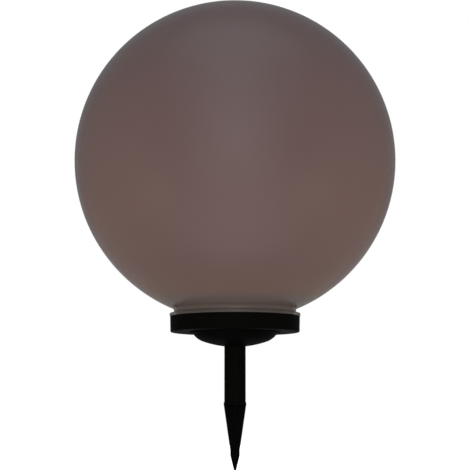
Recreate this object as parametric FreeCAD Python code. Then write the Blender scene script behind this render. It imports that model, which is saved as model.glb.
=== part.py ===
"""Solar garden globe light on a ground spike, built as an assembly of separate parts.

Millimetres, +Z up. The origin is on the light's axis at the ground line, which is the underside of the
spike's flange. A push-fit stem stands on the spike, the round base stands on the stem, and the globe
twists into the base with a three-lug bayonet. The solar panel and its lamps lie inside the globe.
"""

import FreeCAD
import Part

import math
import os

V = FreeCAD.Vector
UP = V(0, 0, 1)
AXIS = V(0, 0, 0)
PARTS = "parts"
TOL = 0.01
OVERRUN = 1.0  # how far a cutting tool runs past the face that it opens

# ---- Globe: a blow-moulded ball with a neck, a flange and a bayonet skirt ----
GLOBE_R = 200.0
GLOBE_WALL = 2.5
NECK_R = 75.6
NECK_WALL = 3.0
NECK_SHOWN = 5.2  # flange to where the bare ball would meet the neck
NECK_BLEND = 3.5
GLOBE_FLANGE_R = 81.0
GLOBE_FLANGE_T = 4.1
FLANGE_EDGE = 0.7
SEAT_GAP = 0.1  # flange over the collar, so that the gasket takes the load

# ---- Bayonet ----
LUG_COUNT = 3
LUG_REACH = 2.4
LUG_T = 3.3
LUG_ANGLE = 14.0
LUG_AT = 30.0  # the first locked lug, degrees from +X
GATE_ANGLE = 18.0
TWIST = 26.0  # degrees from locked to the gate
STOP_ANGLE = 3.5
BAYONET_GAP = 0.3

# ---- Collar ----
COLLAR_R = 80.3
COLLAR_DRAFT = 0.4
COLLAR_H = 19.1
COLLAR_WALL = 1.8
LIP_T = 3.2
FLOOR_T = 2.0
FLOOR_LIFT = 5.7  # underside of the collar to the underside of its floor
COLLAR_TOP_EDGE = 0.3
COLLAR_FOOT_EDGE = 0.7

# ---- Lower cover: a flat ring with a shallow dome and the stem's socket ----
SHELL = 2.2
COVER_GAP = 0.25
DOME_DEPTH = 18.2
DOME_CROWN_R = 121.0
DOME_KNUCKLE_R = 24.0
DOME_REACH = 56.0  # where the knuckle would stand upright
DOME_RIM_R = 56.2
DOME_STEP = 2.0
DOME_RIM_EDGE = 0.5
SOCKET_WALL = 2.6
SOCKET_DEPTH = 32.9
STEM_GAP = 0.1
KEY_W = 3.0
KEY_H = 8.0
KEY_DEPTH = 1.5
KEY_GAP = 0.2
WEB_T = 1.8
WEB_REACH = 50.0
WEB_ANGLES = (0.0, 180.0, 210.0, 270.0, 330.0)

# ---- Stem and spike ----
STEM_R = 13.2
STEM_WALL = 1.8
STEM_SHOWN = 67.7
STEM_CHAMFER = 0.5
SPIKE_FLANGE_R = 13.9
SPIKE_FLANGE_T = 3.4
SPIKE_LENGTH = 82.0
SPIKE_TAPER = 56.0
SPIKE_POINT_R = 5.8
SPIKE_POINT_BODY = 6.0
SPIKE_TIP_R = 0.9
FIN_T = 3.4
FIN_EDGE_T = 1.6
CORE_R = 3.6
PLUG_LENGTH = 28.0
PLUG_GAP = 0.08
PLUG_LEAD = 2.5

# ---- Screws ----
SCREW_COUNT = 4
SCREW_CIRCLE_R = 66.5
SCREW_AT = 45.0
SCREW_R = 1.45
SCREW_LENGTH = 15.5
SCREW_HEAD_R = 3.1
SCREW_HEAD_H = 2.2
SCREW_HOLE_GAP = 0.3
SCREW_CUP_DEPTH = 3.2
SCREW_CUP_WALL = 1.6
PILOT_GAP = 0.05
PILOT_SPARE = 0.5
CROSS_W = 0.9
CROSS_DEPTH = 1.2

# ---- Panel tray, the round housing that stands up inside the globe ----
TRAY_R = 63.0
TRAY_WALL = 2.2
TRAY_H = 30.7
TRAY_EDGE = 1.3
TRAY_SEAT = 3.5  # how far the tray's foot laps the collar's floor
TRAY_BOSS_R = 4.5
TRAY_BOSS_H = 15.0
SPIGOT_H = 3.0
SPIGOT_WALL = 1.9
SPIGOT_GAP = 0.3

# ---- Solar panel ----
PANEL_GAP = 0.3
PANEL_DEPTH = 2.6
PANEL_BOARD_T = 1.0
PANEL_RESIN_T = 1.3
PANEL_EDGE = 1.4  # bare edge round the cells
TUB_WALL = 2.0
TUB_ROOM = 0.98  # tub's corners to the tray's wall
CELL_GAP = 1.2
CELL_T = 0.25
RIBBON_W = 1.6
RIBBON_T = 0.12

# ---- Lamps ----
LAMP_COUNT = 4
LAMP_R = 2.5
LAMP_RIM_R = 2.9
LAMP_RIM_T = 1.0
LAMP_H = 4.7  # rim to the start of the lens
LAMP_HOLE_GAP = 0.1
LAMP_BOARD_L = 30.0
LAMP_BOARD_GAP = 2.7  # from the tub
LAMP_BOARD_ROOM = 1.86  # from the tray's wall, at the corners
STAKE_R = 1.0  # pins of the tray that hold the lamp boards
STAKE_PROUD = 0.8
STAKE_GAP = 0.15
STAKE_SPACING = 20.0
BOARD_T = 1.6

# ---- Control board ----
BOARD_L = 56.0
BOARD_MARGIN = 2.1  # past the stem socket's wall, seen from above
POST_R = 3.0
POST_H = 9.3
POST_SPACING = 44.0
BOARD_SCREW_R = 1.1
BOARD_SCREW_HEAD_R = 2.2
BOARD_SCREW_HEAD_H = 1.4
BOARD_SCREW_LENGTH = 7.0
CHIP = (5.0, 4.0, 1.5)
COIL_R = 3.2
COIL_H = 4.0
COIL_AT = (-12.0, 9.0)
CAPACITOR_R = 2.5
CAPACITOR_H = 7.0
CAPACITOR_IN = 6.5  # from the board's edge
CAPACITOR_CLEAR = 0.6  # past the stem socket's wall
SOCKET_BLOCK = (8.0, 5.0, 4.5)
SOCKETS_X = (-11.0, 11.0)
SOCKETS_Y = -12.0

# ---- Battery, its box and door ----
CELL_R = 7.1
CELL_BODY_L = 49.3
CELL_NUB_L = 1.2
CELL_NUB_R = 2.75
CELL_CORNER = 0.4
BATTERY_LIFT = 20.3  # dome's lowest point to the battery's axis
SPRING_L = 4.3
SPRING_WIRE_R = 0.4
SPRING_R = 3.6
SPRING_TURNS = 3
CONTACT_T = 0.4
CONTACT_SIDE = 10.0
TAB_REACH = 2.4
TAB_OFFSET = 3.5
TAB_W = 3.0
TAB_GAP = 0.3
BOX_SIDE_GAP = 1.1
BOX_TOP_GAP = 0.6
BOX_WALL = 1.6
DOOR_LAP = 3.0
DOOR_LAP_Y = 2.0
DOOR_GAP = 0.3
DOOR_T = 1.9
DOOR_LEDGE = 1.9
DOOR_CORNER = 2.5
DOOR_EAR_R = 5.5
DOOR_EAR_OUT = 6.5  # past the box's inner end
DOOR_EAR_SHIFT = 1.0  # from the battery's axis, towards the stem
DOOR_BOSS_R = 4.6
DOOR_SEAT_LIFT = 12.9  # dome's lowest point to the screw head's seat
DOOR_SEAT_T = 1.6
DOOR_RIB_T = 1.4
DOOR_RIB_TOP = 16.4  # dome's lowest point to the top of the locating ribs
DOOR_RIB_END = 3.0
DOOR_SCREW_R = 1.25
DOOR_SCREW_LENGTH = 9.0
DOOR_HEAD_R = 2.9
DOOR_HEAD_H = 1.8
DOOR_POST_H = 12.1
SCREW_WALL = 2.4

# ---- Power button on the flat ring, at the back ----
BUTTON_Y = 67.3
BUTTON_R = 4.6
BUTTON_PROUD = 1.9
BUTTON_T = 2.5
BUTTON_EDGE = 0.5
BUTTON_TRAVEL = 1.5
PLUNGER_R = 1.6
PLUNGER_L = 4.6
PLUNGER_GAP = 0.3
SEAL_GAP = 0.3
SEAL_W = 1.7
SWITCH_SIDE = 8.0
SWITCH_H = 8.0
SWITCH_ROOM = 1.0

# ---- Seals ----
GASKET_IN_R = 72.0
GASKET_OUT_R = 77.0
GASKET_T = 2.5
COVER_SEAL_IN_R = 73.5
COVER_SEAL_OUT_R = 76.5

# ---- Leads ----
LEAD_R = 0.6
LEAD_BEND = 1.8
LEAD_SPACING = 8.0
LEAD_GAP = 0.3
LEAD_SIDE = 6.0
SWITCH_LEADS_X = 2.0
LEAD_CLEAR = 2.0  # past the battery box
LEAD_RUN = 8.0
LEAD_IN = 1.5  # from the board's edge

# ---- Places that follow from the sizes ----
DOME_BOTTOM = SPIKE_FLANGE_T + STEM_SHOWN
BASE_BOTTOM = DOME_BOTTOM + DOME_DEPTH
COLLAR_TOP = BASE_BOTTOM + COLLAR_H
GLOBE_FLANGE_BOTTOM = COLLAR_TOP + SEAT_GAP
GLOBE_FLANGE_TOP = GLOBE_FLANGE_BOTTOM + GLOBE_FLANGE_T
GLOBE_Z = GLOBE_FLANGE_TOP + NECK_SHOWN + math.sqrt(GLOBE_R**2 - NECK_R**2)
FLOOR_BOTTOM = BASE_BOTTOM + FLOOR_LIFT
FLOOR_TOP = FLOOR_BOTTOM + FLOOR_T
GASKET_TOP = FLOOR_TOP + GASKET_T
LIP_BOTTOM = COLLAR_TOP - LIP_T
LIP_R = NECK_R + 0.5
CAVITY_R = COLLAR_R - COLLAR_WALL
LUG_R = NECK_R + LUG_REACH
LUG_TOP = LIP_BOTTOM - BAYONET_GAP
REBATE_R = CAVITY_R - 0.9
PLATE_R = REBATE_R - COVER_GAP
PLATE_TOP = BASE_BOTTOM + SHELL
KNUCKLE_AT = DOME_REACH - DOME_KNUCKLE_R
CROWN_Z = DOME_BOTTOM + DOME_CROWN_R
KNUCKLE_Z = CROWN_Z - math.sqrt((DOME_CROWN_R - DOME_KNUCKLE_R) ** 2 - KNUCKLE_AT**2)
SHOULDER_Z = BASE_BOTTOM - DOME_STEP
SOCKET_R = STEM_R + STEM_GAP
SOCKET_OUT_R = SOCKET_R + SOCKET_WALL
SOCKET_TOP = DOME_BOTTOM + SOCKET_DEPTH
STEM_BORE_R = STEM_R - STEM_WALL
TRAY_TOP = FLOOR_TOP + TRAY_H
TRAY_IN_R = TRAY_R - TRAY_WALL
FLOOR_HOLE_R = TRAY_R - TRAY_SEAT
SPIGOT_R = FLOOR_HOLE_R - SPIGOT_GAP
SPIGOT_IN_R = SPIGOT_R - SPIGOT_WALL
TUB_HALF = (TRAY_IN_R - TUB_ROOM) / math.sqrt(2)
PANEL_SIDE = 2 * (TUB_HALF - TUB_WALL - PANEL_GAP)
CELL_SIDE = (PANEL_SIDE - 2 * PANEL_EDGE - CELL_GAP) / 2
CELL_PITCH = CELL_SIDE + CELL_GAP
RIBBON_OFFSET = CELL_SIDE / 4
LAMP_BOARD_NEAR = TUB_HALF + LAMP_BOARD_GAP
LAMP_BOARD_FAR = math.sqrt((TRAY_IN_R - LAMP_BOARD_ROOM) ** 2 - (LAMP_BOARD_L / 2) ** 2)
LAMP_CIRCLE_R = (LAMP_BOARD_NEAR + LAMP_BOARD_FAR) / 2
PANEL_FLOOR = TRAY_TOP - PANEL_DEPTH
TUB_BOTTOM = PANEL_FLOOR - SHELL
CELL_FACE = PANEL_FLOOR + PANEL_BOARD_T
PLATE_UNDER = TRAY_TOP - SHELL
LAMP_BOARD_TOP = PLATE_UNDER - LAMP_RIM_T
BOARD_TOP = TUB_BOTTOM - POST_H
BOARD_BOTTOM = BOARD_TOP - BOARD_T
BOARD_W = 2 * (SOCKET_OUT_R + BOARD_MARGIN)
CAPACITOR_AT = (SOCKET_OUT_R + CAPACITOR_CLEAR, BOARD_W / 2 - CAPACITOR_IN)
BATTERY_Z = DOME_BOTTOM + BATTERY_LIFT
BOX_HALF_L = (CELL_BODY_L + CELL_NUB_L + SPRING_L + 2 * CONTACT_T + 0.4) / 2
BOX_IN_TOP = BATTERY_Z + CELL_R + BOX_TOP_GAP
BOX_HALF_W = CELL_R + BOX_SIDE_GAP
BOX_OUT_L = BOX_HALF_L + BOX_WALL
BOX_OUT_W = BOX_HALF_W + BOX_WALL
BOX_NEAREST = SOCKET_OUT_R + BOX_OUT_W
BOX_FARTHEST = math.sqrt(SPIGOT_IN_R**2 - BOX_OUT_L**2) - BOX_OUT_W
BATTERY_Y = (BOX_NEAREST + BOX_FARTHEST) / 2
DOOR_HALF_L = BOX_HALF_L + DOOR_LAP
DOOR_HALF_W = BOX_HALF_W + DOOR_LAP_Y
DOOR_EARS = [(side * (BOX_HALF_L + DOOR_EAR_OUT), BATTERY_Y - DOOR_EAR_SHIFT) for side in (-1, 1)]
DOOR_SEAT = DOME_BOTTOM + DOOR_SEAT_LIFT
DOOR_INNER = DOOR_SEAT + DOOR_SEAT_T
SCREW_SEAT = BASE_BOTTOM + SCREW_CUP_DEPTH
POSTS = (-POST_SPACING / 2, POST_SPACING / 2)
PLATE_END_X = BOX_HALF_L - CONTACT_T
CELL_PLUS_X = PLATE_END_X - CELL_NUB_L
CELL_MINUS_X = CELL_PLUS_X - CELL_BODY_L


# ---- Building blocks ----
def disc(radius, low, high, x=0.0, y=0.0):
    return Part.makeCylinder(radius, high - low, V(x, y, low), UP)


def ring(inner, outer, low, high, x=0.0, y=0.0):
    return disc(outer, low, high, x, y).cut(disc(inner, low - OVERRUN, high + OVERRUN, x, y))


def block(x0, x1, y0, y1, low, high):
    return Part.makeBox(x1 - x0, y1 - y0, high - low, V(x0, y0, low))


def turned(shape, degrees):
    copy = shape.copy()
    copy.rotate(AXIS, UP, degrees)
    return copy


def sector(inner, outer, low, high, middle, width):
    wedge = Part.makeCylinder(outer, high - low, V(0, 0, low), UP, width)
    wedge = wedge.cut(disc(inner, low - OVERRUN, high + OVERRUN))
    return turned(wedge, middle - width / 2)


def around(count, first):
    return [first + 360.0 / count * i for i in range(count)]


def polar(radius, degrees):
    return radius * math.cos(math.radians(degrees)), radius * math.sin(math.radians(degrees))


SCREWS = [polar(SCREW_CIRCLE_R, a) for a in around(SCREW_COUNT, SCREW_AT)]
LAMPS = [polar(LAMP_CIRCLE_R, a) for a in around(LAMP_COUNT, 0.0)]


def outline(start, *steps):
    """Edges in the XZ plane. A step is the next point, or a pair of a point on the arc and its end."""
    here, edges = V(start[0], 0, start[1]), []
    for step in steps:
        if isinstance(step[0], tuple):
            middle, end = (V(p[0], 0, p[1]) for p in step)
            edges.append(Part.Arc(here, middle, end).toShape())
        else:
            end = V(step[0], 0, step[1])
            edges.append(Part.LineSegment(here, end).toShape())
        here = end
    return edges


def revolved(start, *steps):
    """The outline closed back to its start and turned about Z."""
    wire = Part.Wire(outline(start, *steps, start))
    return Part.Face(wire).revolve(AXIS, UP, 360)


def rings_at(shape, *places):
    """The round edges about Z at each (radius, height)."""
    found = []
    for edge in shape.Edges:
        if edge.Degenerated or not isinstance(edge.Curve, Part.Circle):
            continue
        curve = edge.Curve
        for radius, height in places:
            if abs(curve.Radius - radius) < TOL and abs(curve.Center.z - height) < TOL:
                found.append(edge)
    return found


def joined(first, *others):
    return first.fuse(list(others)).removeSplitter()


def crown_end(inset):
    """The radius at which the crown of that layer runs into the knuckle."""
    return KNUCKLE_AT * (DOME_CROWN_R - inset) / (DOME_CROWN_R - DOME_KNUCKLE_R)


def dome_z(radius, inset=0.0):
    """The height of the dome's skin at that radius, or of a layer that lies inset into it."""
    if radius < crown_end(inset):
        return CROWN_Z - math.sqrt((DOME_CROWN_R - inset) ** 2 - radius**2)
    return KNUCKLE_Z - math.sqrt((DOME_KNUCKLE_R - inset) ** 2 - (radius - KNUCKLE_AT) ** 2)


def dome_r(height, inset=0.0):
    """The radius of the knuckle at that height."""
    return KNUCKLE_AT + math.sqrt((DOME_KNUCKLE_R - inset) ** 2 - (KNUCKLE_Z - height) ** 2)


def dome_arc(from_r, to_r, inset=0.0):
    """An outline step along the dome between two radii on the same arc."""
    middle_r = (from_r + to_r) / 2
    return (middle_r, dome_z(middle_r, inset)), (to_r, dome_z(to_r, inset))


def dome_ball(inset=0.0):
    """All that lies over the dome, inset from its skin."""
    turn_r, side_r, top = crown_end(inset), DOME_REACH - inset - TOL, KNUCKLE_Z + DOME_DEPTH
    return revolved(
        (0, dome_z(0, inset)),
        dome_arc(0, turn_r, inset),
        dome_arc(turn_r, side_r, inset),
        (side_r, top),
        (0, top),
    )


def within_dome(shape, inset=0.0):
    return shape.common(dome_ball(inset))


def dome_layer(shape, outer_inset, inner_inset):
    return within_dome(shape, outer_inset).cut(dome_ball(inner_inset))


def cross_recess(radius, low, x, y):
    """The driver slot of a screw head whose outer face is at low and looks down."""
    half = CROSS_W / 2
    reach = radius * 0.62
    top = low + CROSS_DEPTH
    return [
        block(x - reach, x + reach, y - half, y + half, low - OVERRUN, top),
        block(x - half, x + half, y - reach, y + reach, low - OVERRUN, top),
    ]


def screw_up(x, y, seat, shank_r, length, head_r, head_h):
    """A pan-head screw driven upwards, its head seated at seat."""
    head = disc(head_r, seat - head_h, seat, x, y)
    head = head.makeChamfer(head_h * 0.4, rings_at(head, (head_r, seat - head_h)))
    shank = disc(shank_r, seat, seat + length, x, y)
    shank = shank.makeChamfer(shank_r * 0.5, rings_at(shank, (shank_r, seat + length)))
    return joined(head, shank).cut(cross_recess(head_r, seat - head_h, x, y))


def lead(*points):
    """A wire along straight runs joined by arcs of LEAD_BEND."""
    route = [V(*p) for p in points]
    edges, here = [], route[0]
    for before, corner, after in zip(route, route[1:], route[2:]):
        into, out = (corner - before).normalize(), (after - corner).normalize()
        half_turn = into.getAngle(out) / 2
        reach = LEAD_BEND * math.tan(half_turn)
        start, end = corner - into * reach, corner + out * reach
        inward = (out - into).normalize()
        middle = corner + inward * (LEAD_BEND / math.cos(half_turn) - LEAD_BEND)
        edges.append(Part.LineSegment(here, start).toShape())
        edges.append(Part.Arc(start, middle, end).toShape())
        here = end
    edges.append(Part.LineSegment(here, route[-1]).toShape())
    section = Part.Wire(Part.makeCircle(LEAD_R, route[0], route[1] - route[0]))
    return Part.Wire(edges).makePipeShell([section], True, False)


# ---- Globe ----
def globe_shell():
    inner_r, neck_in = GLOBE_R - GLOBE_WALL, NECK_R - NECK_WALL
    ball_end = GLOBE_Z - math.sqrt(GLOBE_R**2 - NECK_R**2)
    mouth = GLOBE_Z - math.sqrt(inner_r**2 - neck_in**2)
    shell = revolved(
        (0, GLOBE_Z + GLOBE_R),
        ((GLOBE_R, GLOBE_Z), (NECK_R, ball_end)),
        (NECK_R, GLOBE_FLANGE_TOP),
        (GLOBE_FLANGE_R, GLOBE_FLANGE_TOP),
        (GLOBE_FLANGE_R, GLOBE_FLANGE_BOTTOM),
        (NECK_R, GLOBE_FLANGE_BOTTOM),
        (NECK_R, GASKET_TOP),
        (neck_in, GASKET_TOP),
        (neck_in, mouth),
        ((inner_r, GLOBE_Z), (0, GLOBE_Z + inner_r)),
    )
    shell = shell.makeFillet(NECK_BLEND, rings_at(shell, (NECK_R, ball_end)))
    rim = rings_at(shell, (GLOBE_FLANGE_R, GLOBE_FLANGE_TOP), (GLOBE_FLANGE_R, GLOBE_FLANGE_BOTTOM))
    shell = shell.makeChamfer(FLANGE_EDGE, rim)
    low, step = LUG_TOP - LUG_T, NECK_WALL / 3
    lugs = [sector(NECK_R - step, LUG_R, low, LUG_TOP, a, LUG_ANGLE) for a in around(LUG_COUNT, LUG_AT)]
    return joined(shell, *lugs)


def globe_gasket():
    return ring(GASKET_IN_R, GASKET_OUT_R, FLOOR_TOP, GASKET_TOP)


# ---- Base ----
def collar_ring():
    foot_r = COLLAR_R - COLLAR_DRAFT
    body = revolved(
        (LIP_R, COLLAR_TOP),
        (COLLAR_R, COLLAR_TOP),
        (foot_r, BASE_BOTTOM),
        (REBATE_R, BASE_BOTTOM),
        (REBATE_R, FLOOR_BOTTOM),
        (FLOOR_HOLE_R, FLOOR_BOTTOM),
        (FLOOR_HOLE_R, FLOOR_TOP),
        (CAVITY_R, FLOOR_TOP),
        (CAVITY_R, LIP_BOTTOM),
        (LIP_R, LIP_BOTTOM),
    )
    body = body.makeChamfer(COLLAR_FOOT_EDGE, rings_at(body, (foot_r, BASE_BOTTOM)))
    body = body.makeChamfer(COLLAR_TOP_EDGE, rings_at(body, (COLLAR_R, COLLAR_TOP)))
    locked = around(LUG_COUNT, LUG_AT)
    gate_in, gate_low, gate_top = LIP_R - OVERRUN, LIP_BOTTOM - OVERRUN, COLLAR_TOP + OVERRUN
    gates = [sector(gate_in, CAVITY_R, gate_low, gate_top, a + TWIST, GATE_ANGLE) for a in locked]
    gap_angle = math.degrees(BAYONET_GAP / LUG_R)
    stop_middle = -(LUG_ANGLE + STOP_ANGLE) / 2 - gap_angle
    stop_low, stop_top, stop_out = LUG_TOP - LUG_T, LIP_BOTTOM + LIP_T / 2, CAVITY_R + COLLAR_WALL / 2
    stops = [sector(LIP_R, stop_out, stop_low, stop_top, a + stop_middle, STOP_ANGLE) for a in locked]
    low, top = FLOOR_BOTTOM - OVERRUN, FLOOR_TOP + OVERRUN
    holes = [disc(SCREW_R + SCREW_HOLE_GAP, low, top, *at) for at in SCREWS]
    half = SWITCH_SIDE / 2 + SWITCH_ROOM
    notch = block(-half, half, FLOOR_HOLE_R - 3 * OVERRUN, GASKET_IN_R - 0.3, low, top)
    return joined(body, *stops).cut(gates + holes + [notch])


def door_outline(grow, low, high):
    """The door's plan as an upright prism: a rounded rectangle with an ear at each end."""
    half_l, half_w = DOOR_HALF_L + grow, DOOR_HALF_W + grow
    plan = block(-half_l, half_l, BATTERY_Y - half_w, BATTERY_Y + half_w, low, high)
    upright = [e for e in plan.Edges if abs(e.Vertexes[0].Z - e.Vertexes[1].Z) > TOL]
    plan = plan.makeFillet(DOOR_CORNER + grow, upright)
    reach = DOOR_EAR_R + grow
    ears = [disc(reach, low, high, *at) for at in DOOR_EARS]
    bridges = [block(min(x, 0), max(x, 0), y - reach, y + reach, low, high) for x, y in DOOR_EARS]
    return joined(plan, *ears, *bridges)


def dome_body():
    """The flat ring, the step and the dome, turned as one, with the stem's hole."""
    out_r, in_r = dome_r(SHOULDER_Z), dome_r(PLATE_TOP, SHELL)
    body = revolved(
        (PLATE_R, PLATE_TOP),
        (PLATE_R, BASE_BOTTOM),
        (DOME_RIM_R, BASE_BOTTOM),
        (DOME_RIM_R, SHOULDER_Z),
        (out_r, SHOULDER_Z),
        dome_arc(out_r, crown_end(0)),
        dome_arc(crown_end(0), SOCKET_R),
        (SOCKET_R, dome_z(SOCKET_R, SHELL)),
        dome_arc(SOCKET_R, crown_end(SHELL), SHELL),
        dome_arc(crown_end(SHELL), in_r, SHELL),
    )
    return body.makeChamfer(DOME_RIM_EDGE, rings_at(body, (DOME_RIM_R, SHOULDER_Z)))


def stem_socket():
    sleeve = ring(SOCKET_R, SOCKET_OUT_R, dome_z(SOCKET_OUT_R) + 0.3, SOCKET_TOP)
    cap = disc(SOCKET_OUT_R, SOCKET_TOP, SOCKET_TOP + SHELL)
    half = KEY_W / 2
    root, edge = -SOCKET_R - SOCKET_WALL / 2, KEY_DEPTH - SOCKET_R
    key = block(-half, half, root, edge, SOCKET_TOP - KEY_H, SOCKET_TOP)
    return joined(sleeve, cap, key)


def dome_webs():
    """Upright ribs from the socket's sleeve out to the dome."""
    half = WEB_T / 2
    plain = block(SOCKET_R + SOCKET_WALL / 2, WEB_REACH, -half, half, DOME_BOTTOM, PLATE_TOP)
    return [within_dome(turned(plain, a), SHELL / 2) for a in WEB_ANGLES]


def battery_walls():
    near, far, top = BATTERY_Y - BOX_OUT_W, BATTERY_Y + BOX_OUT_W, BOX_IN_TOP + BOX_WALL
    walls = block(-BOX_OUT_L, BOX_OUT_L, near, far, DOME_BOTTOM, top)
    return within_dome(walls, SHELL / 2)


def screw_cups():
    """Cups in the flat ring that take the heads of the housing screws."""
    out_r = SCREW_HEAD_R + SCREW_HOLE_GAP + SCREW_CUP_WALL
    return [disc(out_r, BASE_BOTTOM + SHELL / 2, SCREW_SEAT + SHELL, *at) for at in SCREWS]


def screw_cup_holes():
    holes = []
    for at in SCREWS:
        holes.append(disc(SCREW_HEAD_R + SCREW_HOLE_GAP, BASE_BOTTOM - OVERRUN, SCREW_SEAT, *at))
        holes.append(disc(SCREW_R + SCREW_HOLE_GAP, SCREW_SEAT - OVERRUN, SCREW_SEAT + SHELL + OVERRUN, *at))
    return holes


def door_posts():
    """Bosses over the door's ears that the door screws bite into."""
    posts = []
    for at in DOOR_EARS:
        foot = disc(DOOR_BOSS_R + DOOR_GAP + BOX_WALL, DOME_BOTTOM, DOOR_INNER + DOOR_GAP + SHELL, *at)
        post = disc(DOOR_SCREW_R + SCREW_WALL, DOOR_INNER, DOOR_INNER + DOOR_POST_H, *at)
        posts.append(joined(within_dome(foot, SHELL / 2), post))
    return posts


def door_cuts():
    """What the door, its bosses and its screws take out of the cover."""
    low = DOME_BOTTOM - OVERRUN
    recess = door_outline(DOOR_GAP, low, PLATE_TOP)
    recess = recess.cut(dome_ball(DOOR_T + DOOR_GAP))
    near, far = BATTERY_Y - BOX_HALF_W, BATTERY_Y + BOX_HALF_W
    mouth = block(-BOX_HALF_L, BOX_HALF_L, near, far, low, BOX_IN_TOP)
    cuts = [recess, mouth]
    for at in DOOR_EARS:
        cuts.append(disc(DOOR_BOSS_R + DOOR_GAP, low, DOOR_INNER + DOOR_GAP, *at))
        cuts.append(disc(DOOR_SCREW_R + PILOT_GAP, low, DOOR_SEAT + DOOR_SCREW_LENGTH + OVERRUN, *at))
    return cuts


def contact_slots():
    """Slots in the battery box's ends that the contacts' tabs pass through."""
    middle, half = BATTERY_Y + TAB_OFFSET, TAB_W / 2 + TAB_GAP
    top = BATTERY_Z + CONTACT_SIDE / 2 + TAB_GAP
    low, inner, out = top - CONTACT_T - 2 * TAB_GAP, BOX_HALF_L - OVERRUN, BOX_OUT_L + OVERRUN
    ends = ((inner, out), (-out, -inner))
    return [block(x0, x1, middle - half, middle + half, low, top) for x0, x1 in ends]


def lower_cover():
    pad = door_outline(DOOR_GAP + BOX_WALL, DOME_BOTTOM, PLATE_TOP)
    pad = dome_layer(pad, SHELL / 2, DOOR_T + DOOR_GAP + DOOR_LEDGE)
    inner = (stem_socket(), *dome_webs(), battery_walls(), pad, *door_posts(), *screw_cups())
    body = joined(dome_body(), *inner)
    hole_r = BUTTON_R + SEAL_GAP + SEAL_W
    button_hole = disc(hole_r, BASE_BOTTOM - OVERRUN, PLATE_TOP + OVERRUN, 0, BUTTON_Y)
    bore = disc(SOCKET_R, DOME_BOTTOM - OVERRUN, SOCKET_TOP - KEY_H)
    return body.cut(door_cuts() + contact_slots() + screw_cup_holes() + [button_hole, bore])


def cover_seal():
    return ring(COVER_SEAL_IN_R, COVER_SEAL_OUT_R, PLATE_TOP, FLOOR_BOTTOM)


def housing_screws():
    sizes = (SCREW_SEAT, SCREW_R, SCREW_LENGTH, SCREW_HEAD_R, SCREW_HEAD_H)
    return Part.makeCompound([screw_up(*at, *sizes) for at in SCREWS])


# ---- Battery ----
def battery_cell():
    along = V(1, 0, 0)
    can = Part.makeCylinder(CELL_R, CELL_BODY_L, V(CELL_MINUS_X, BATTERY_Y, BATTERY_Z), along)
    ends = [e for e in can.Edges if isinstance(e.Curve, Part.Circle)]
    can = can.makeChamfer(CELL_CORNER, ends)
    nub = Part.makeCylinder(CELL_NUB_R, CELL_NUB_L, V(CELL_PLUS_X, BATTERY_Y, BATTERY_Z), along)
    return joined(can, nub)


def contact_plate(side):
    """A square contact at one end of the box, side 1 for the nub's end, with a solder tab outwards."""
    half, top = CONTACT_SIDE / 2, BATTERY_Z + CONTACT_SIDE / 2
    inner, outer = BOX_HALF_L - CONTACT_T, BOX_HALF_L
    plate = block(inner, outer, BATTERY_Y - half, BATTERY_Y + half, BATTERY_Z - half, top)
    near, far = BATTERY_Y + TAB_OFFSET - TAB_W / 2, BATTERY_Y + TAB_OFFSET + TAB_W / 2
    tab = block(inner, BOX_OUT_L + TAB_REACH, near, far, top - CONTACT_T, top)
    contact = joined(plate, tab)
    if side < 0:
        contact = contact.mirror(AXIS, V(1, 0, 0))
    return contact


def battery_plate_contact():
    return contact_plate(1)


def arc_from(start, tangent, end):
    """The arc that leaves start along tangent and ends at end."""
    chord = end - start
    half = chord.Length / 2
    turn = tangent.getAngle(chord)
    outward = tangent * (half / math.cos(turn)) - chord / 2
    outward.normalize()
    middle = start + chord / 2 + outward * (half * math.tan(turn / 2))
    return Part.Arc(start, middle, end).toShape()


def coil_path(radius, pitch, turns):
    """A coil about Z in quarter turns, each of two arcs that share a tangent."""
    rise = pitch / (2 * math.pi)

    def at(angle):
        return V(radius * math.cos(angle), radius * math.sin(angle), rise * angle)

    def along(angle):
        way = V(-radius * math.sin(angle), radius * math.cos(angle), rise)
        return way.normalize()

    edges = []
    for i in range(4 * turns):
        a, b = i * math.pi / 2, (i + 1) * math.pi / 2
        start, end, t0, t1 = at(a), at(b), along(a), along(b)
        v, t = end - start, t0 + t1
        spread = 2 * (1 - t0.dot(t1))
        reach = (math.sqrt(v.dot(t) ** 2 + spread * v.dot(v)) - v.dot(t)) / spread
        joint = (start + end + (t0 - t1) * reach) / 2
        edges.append(arc_from(start, t0, joint))
        edges.append(arc_from(joint, (end - t1 * reach - joint).normalize(), end))
    return Part.Wire(edges)


def battery_spring_contact():
    """The plate at the cell's flat end, with a coil that presses on the cell."""
    start = -PLATE_END_X + SPRING_WIRE_R * 0.5
    length = CELL_MINUS_X - start - SPRING_WIRE_R - 0.1
    path = coil_path(SPRING_R, length / SPRING_TURNS, SPRING_TURNS)
    section = Part.Wire(Part.makeCircle(SPRING_WIRE_R, V(SPRING_R, 0, 0), V(0, 1, 0)))
    coil = path.makePipeShell([section], True, False)
    coil.rotate(AXIS, V(0, 1, 0), 90)
    coil.translate(V(start, BATTERY_Y, BATTERY_Z))
    return joined(contact_plate(-1), coil)


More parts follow.
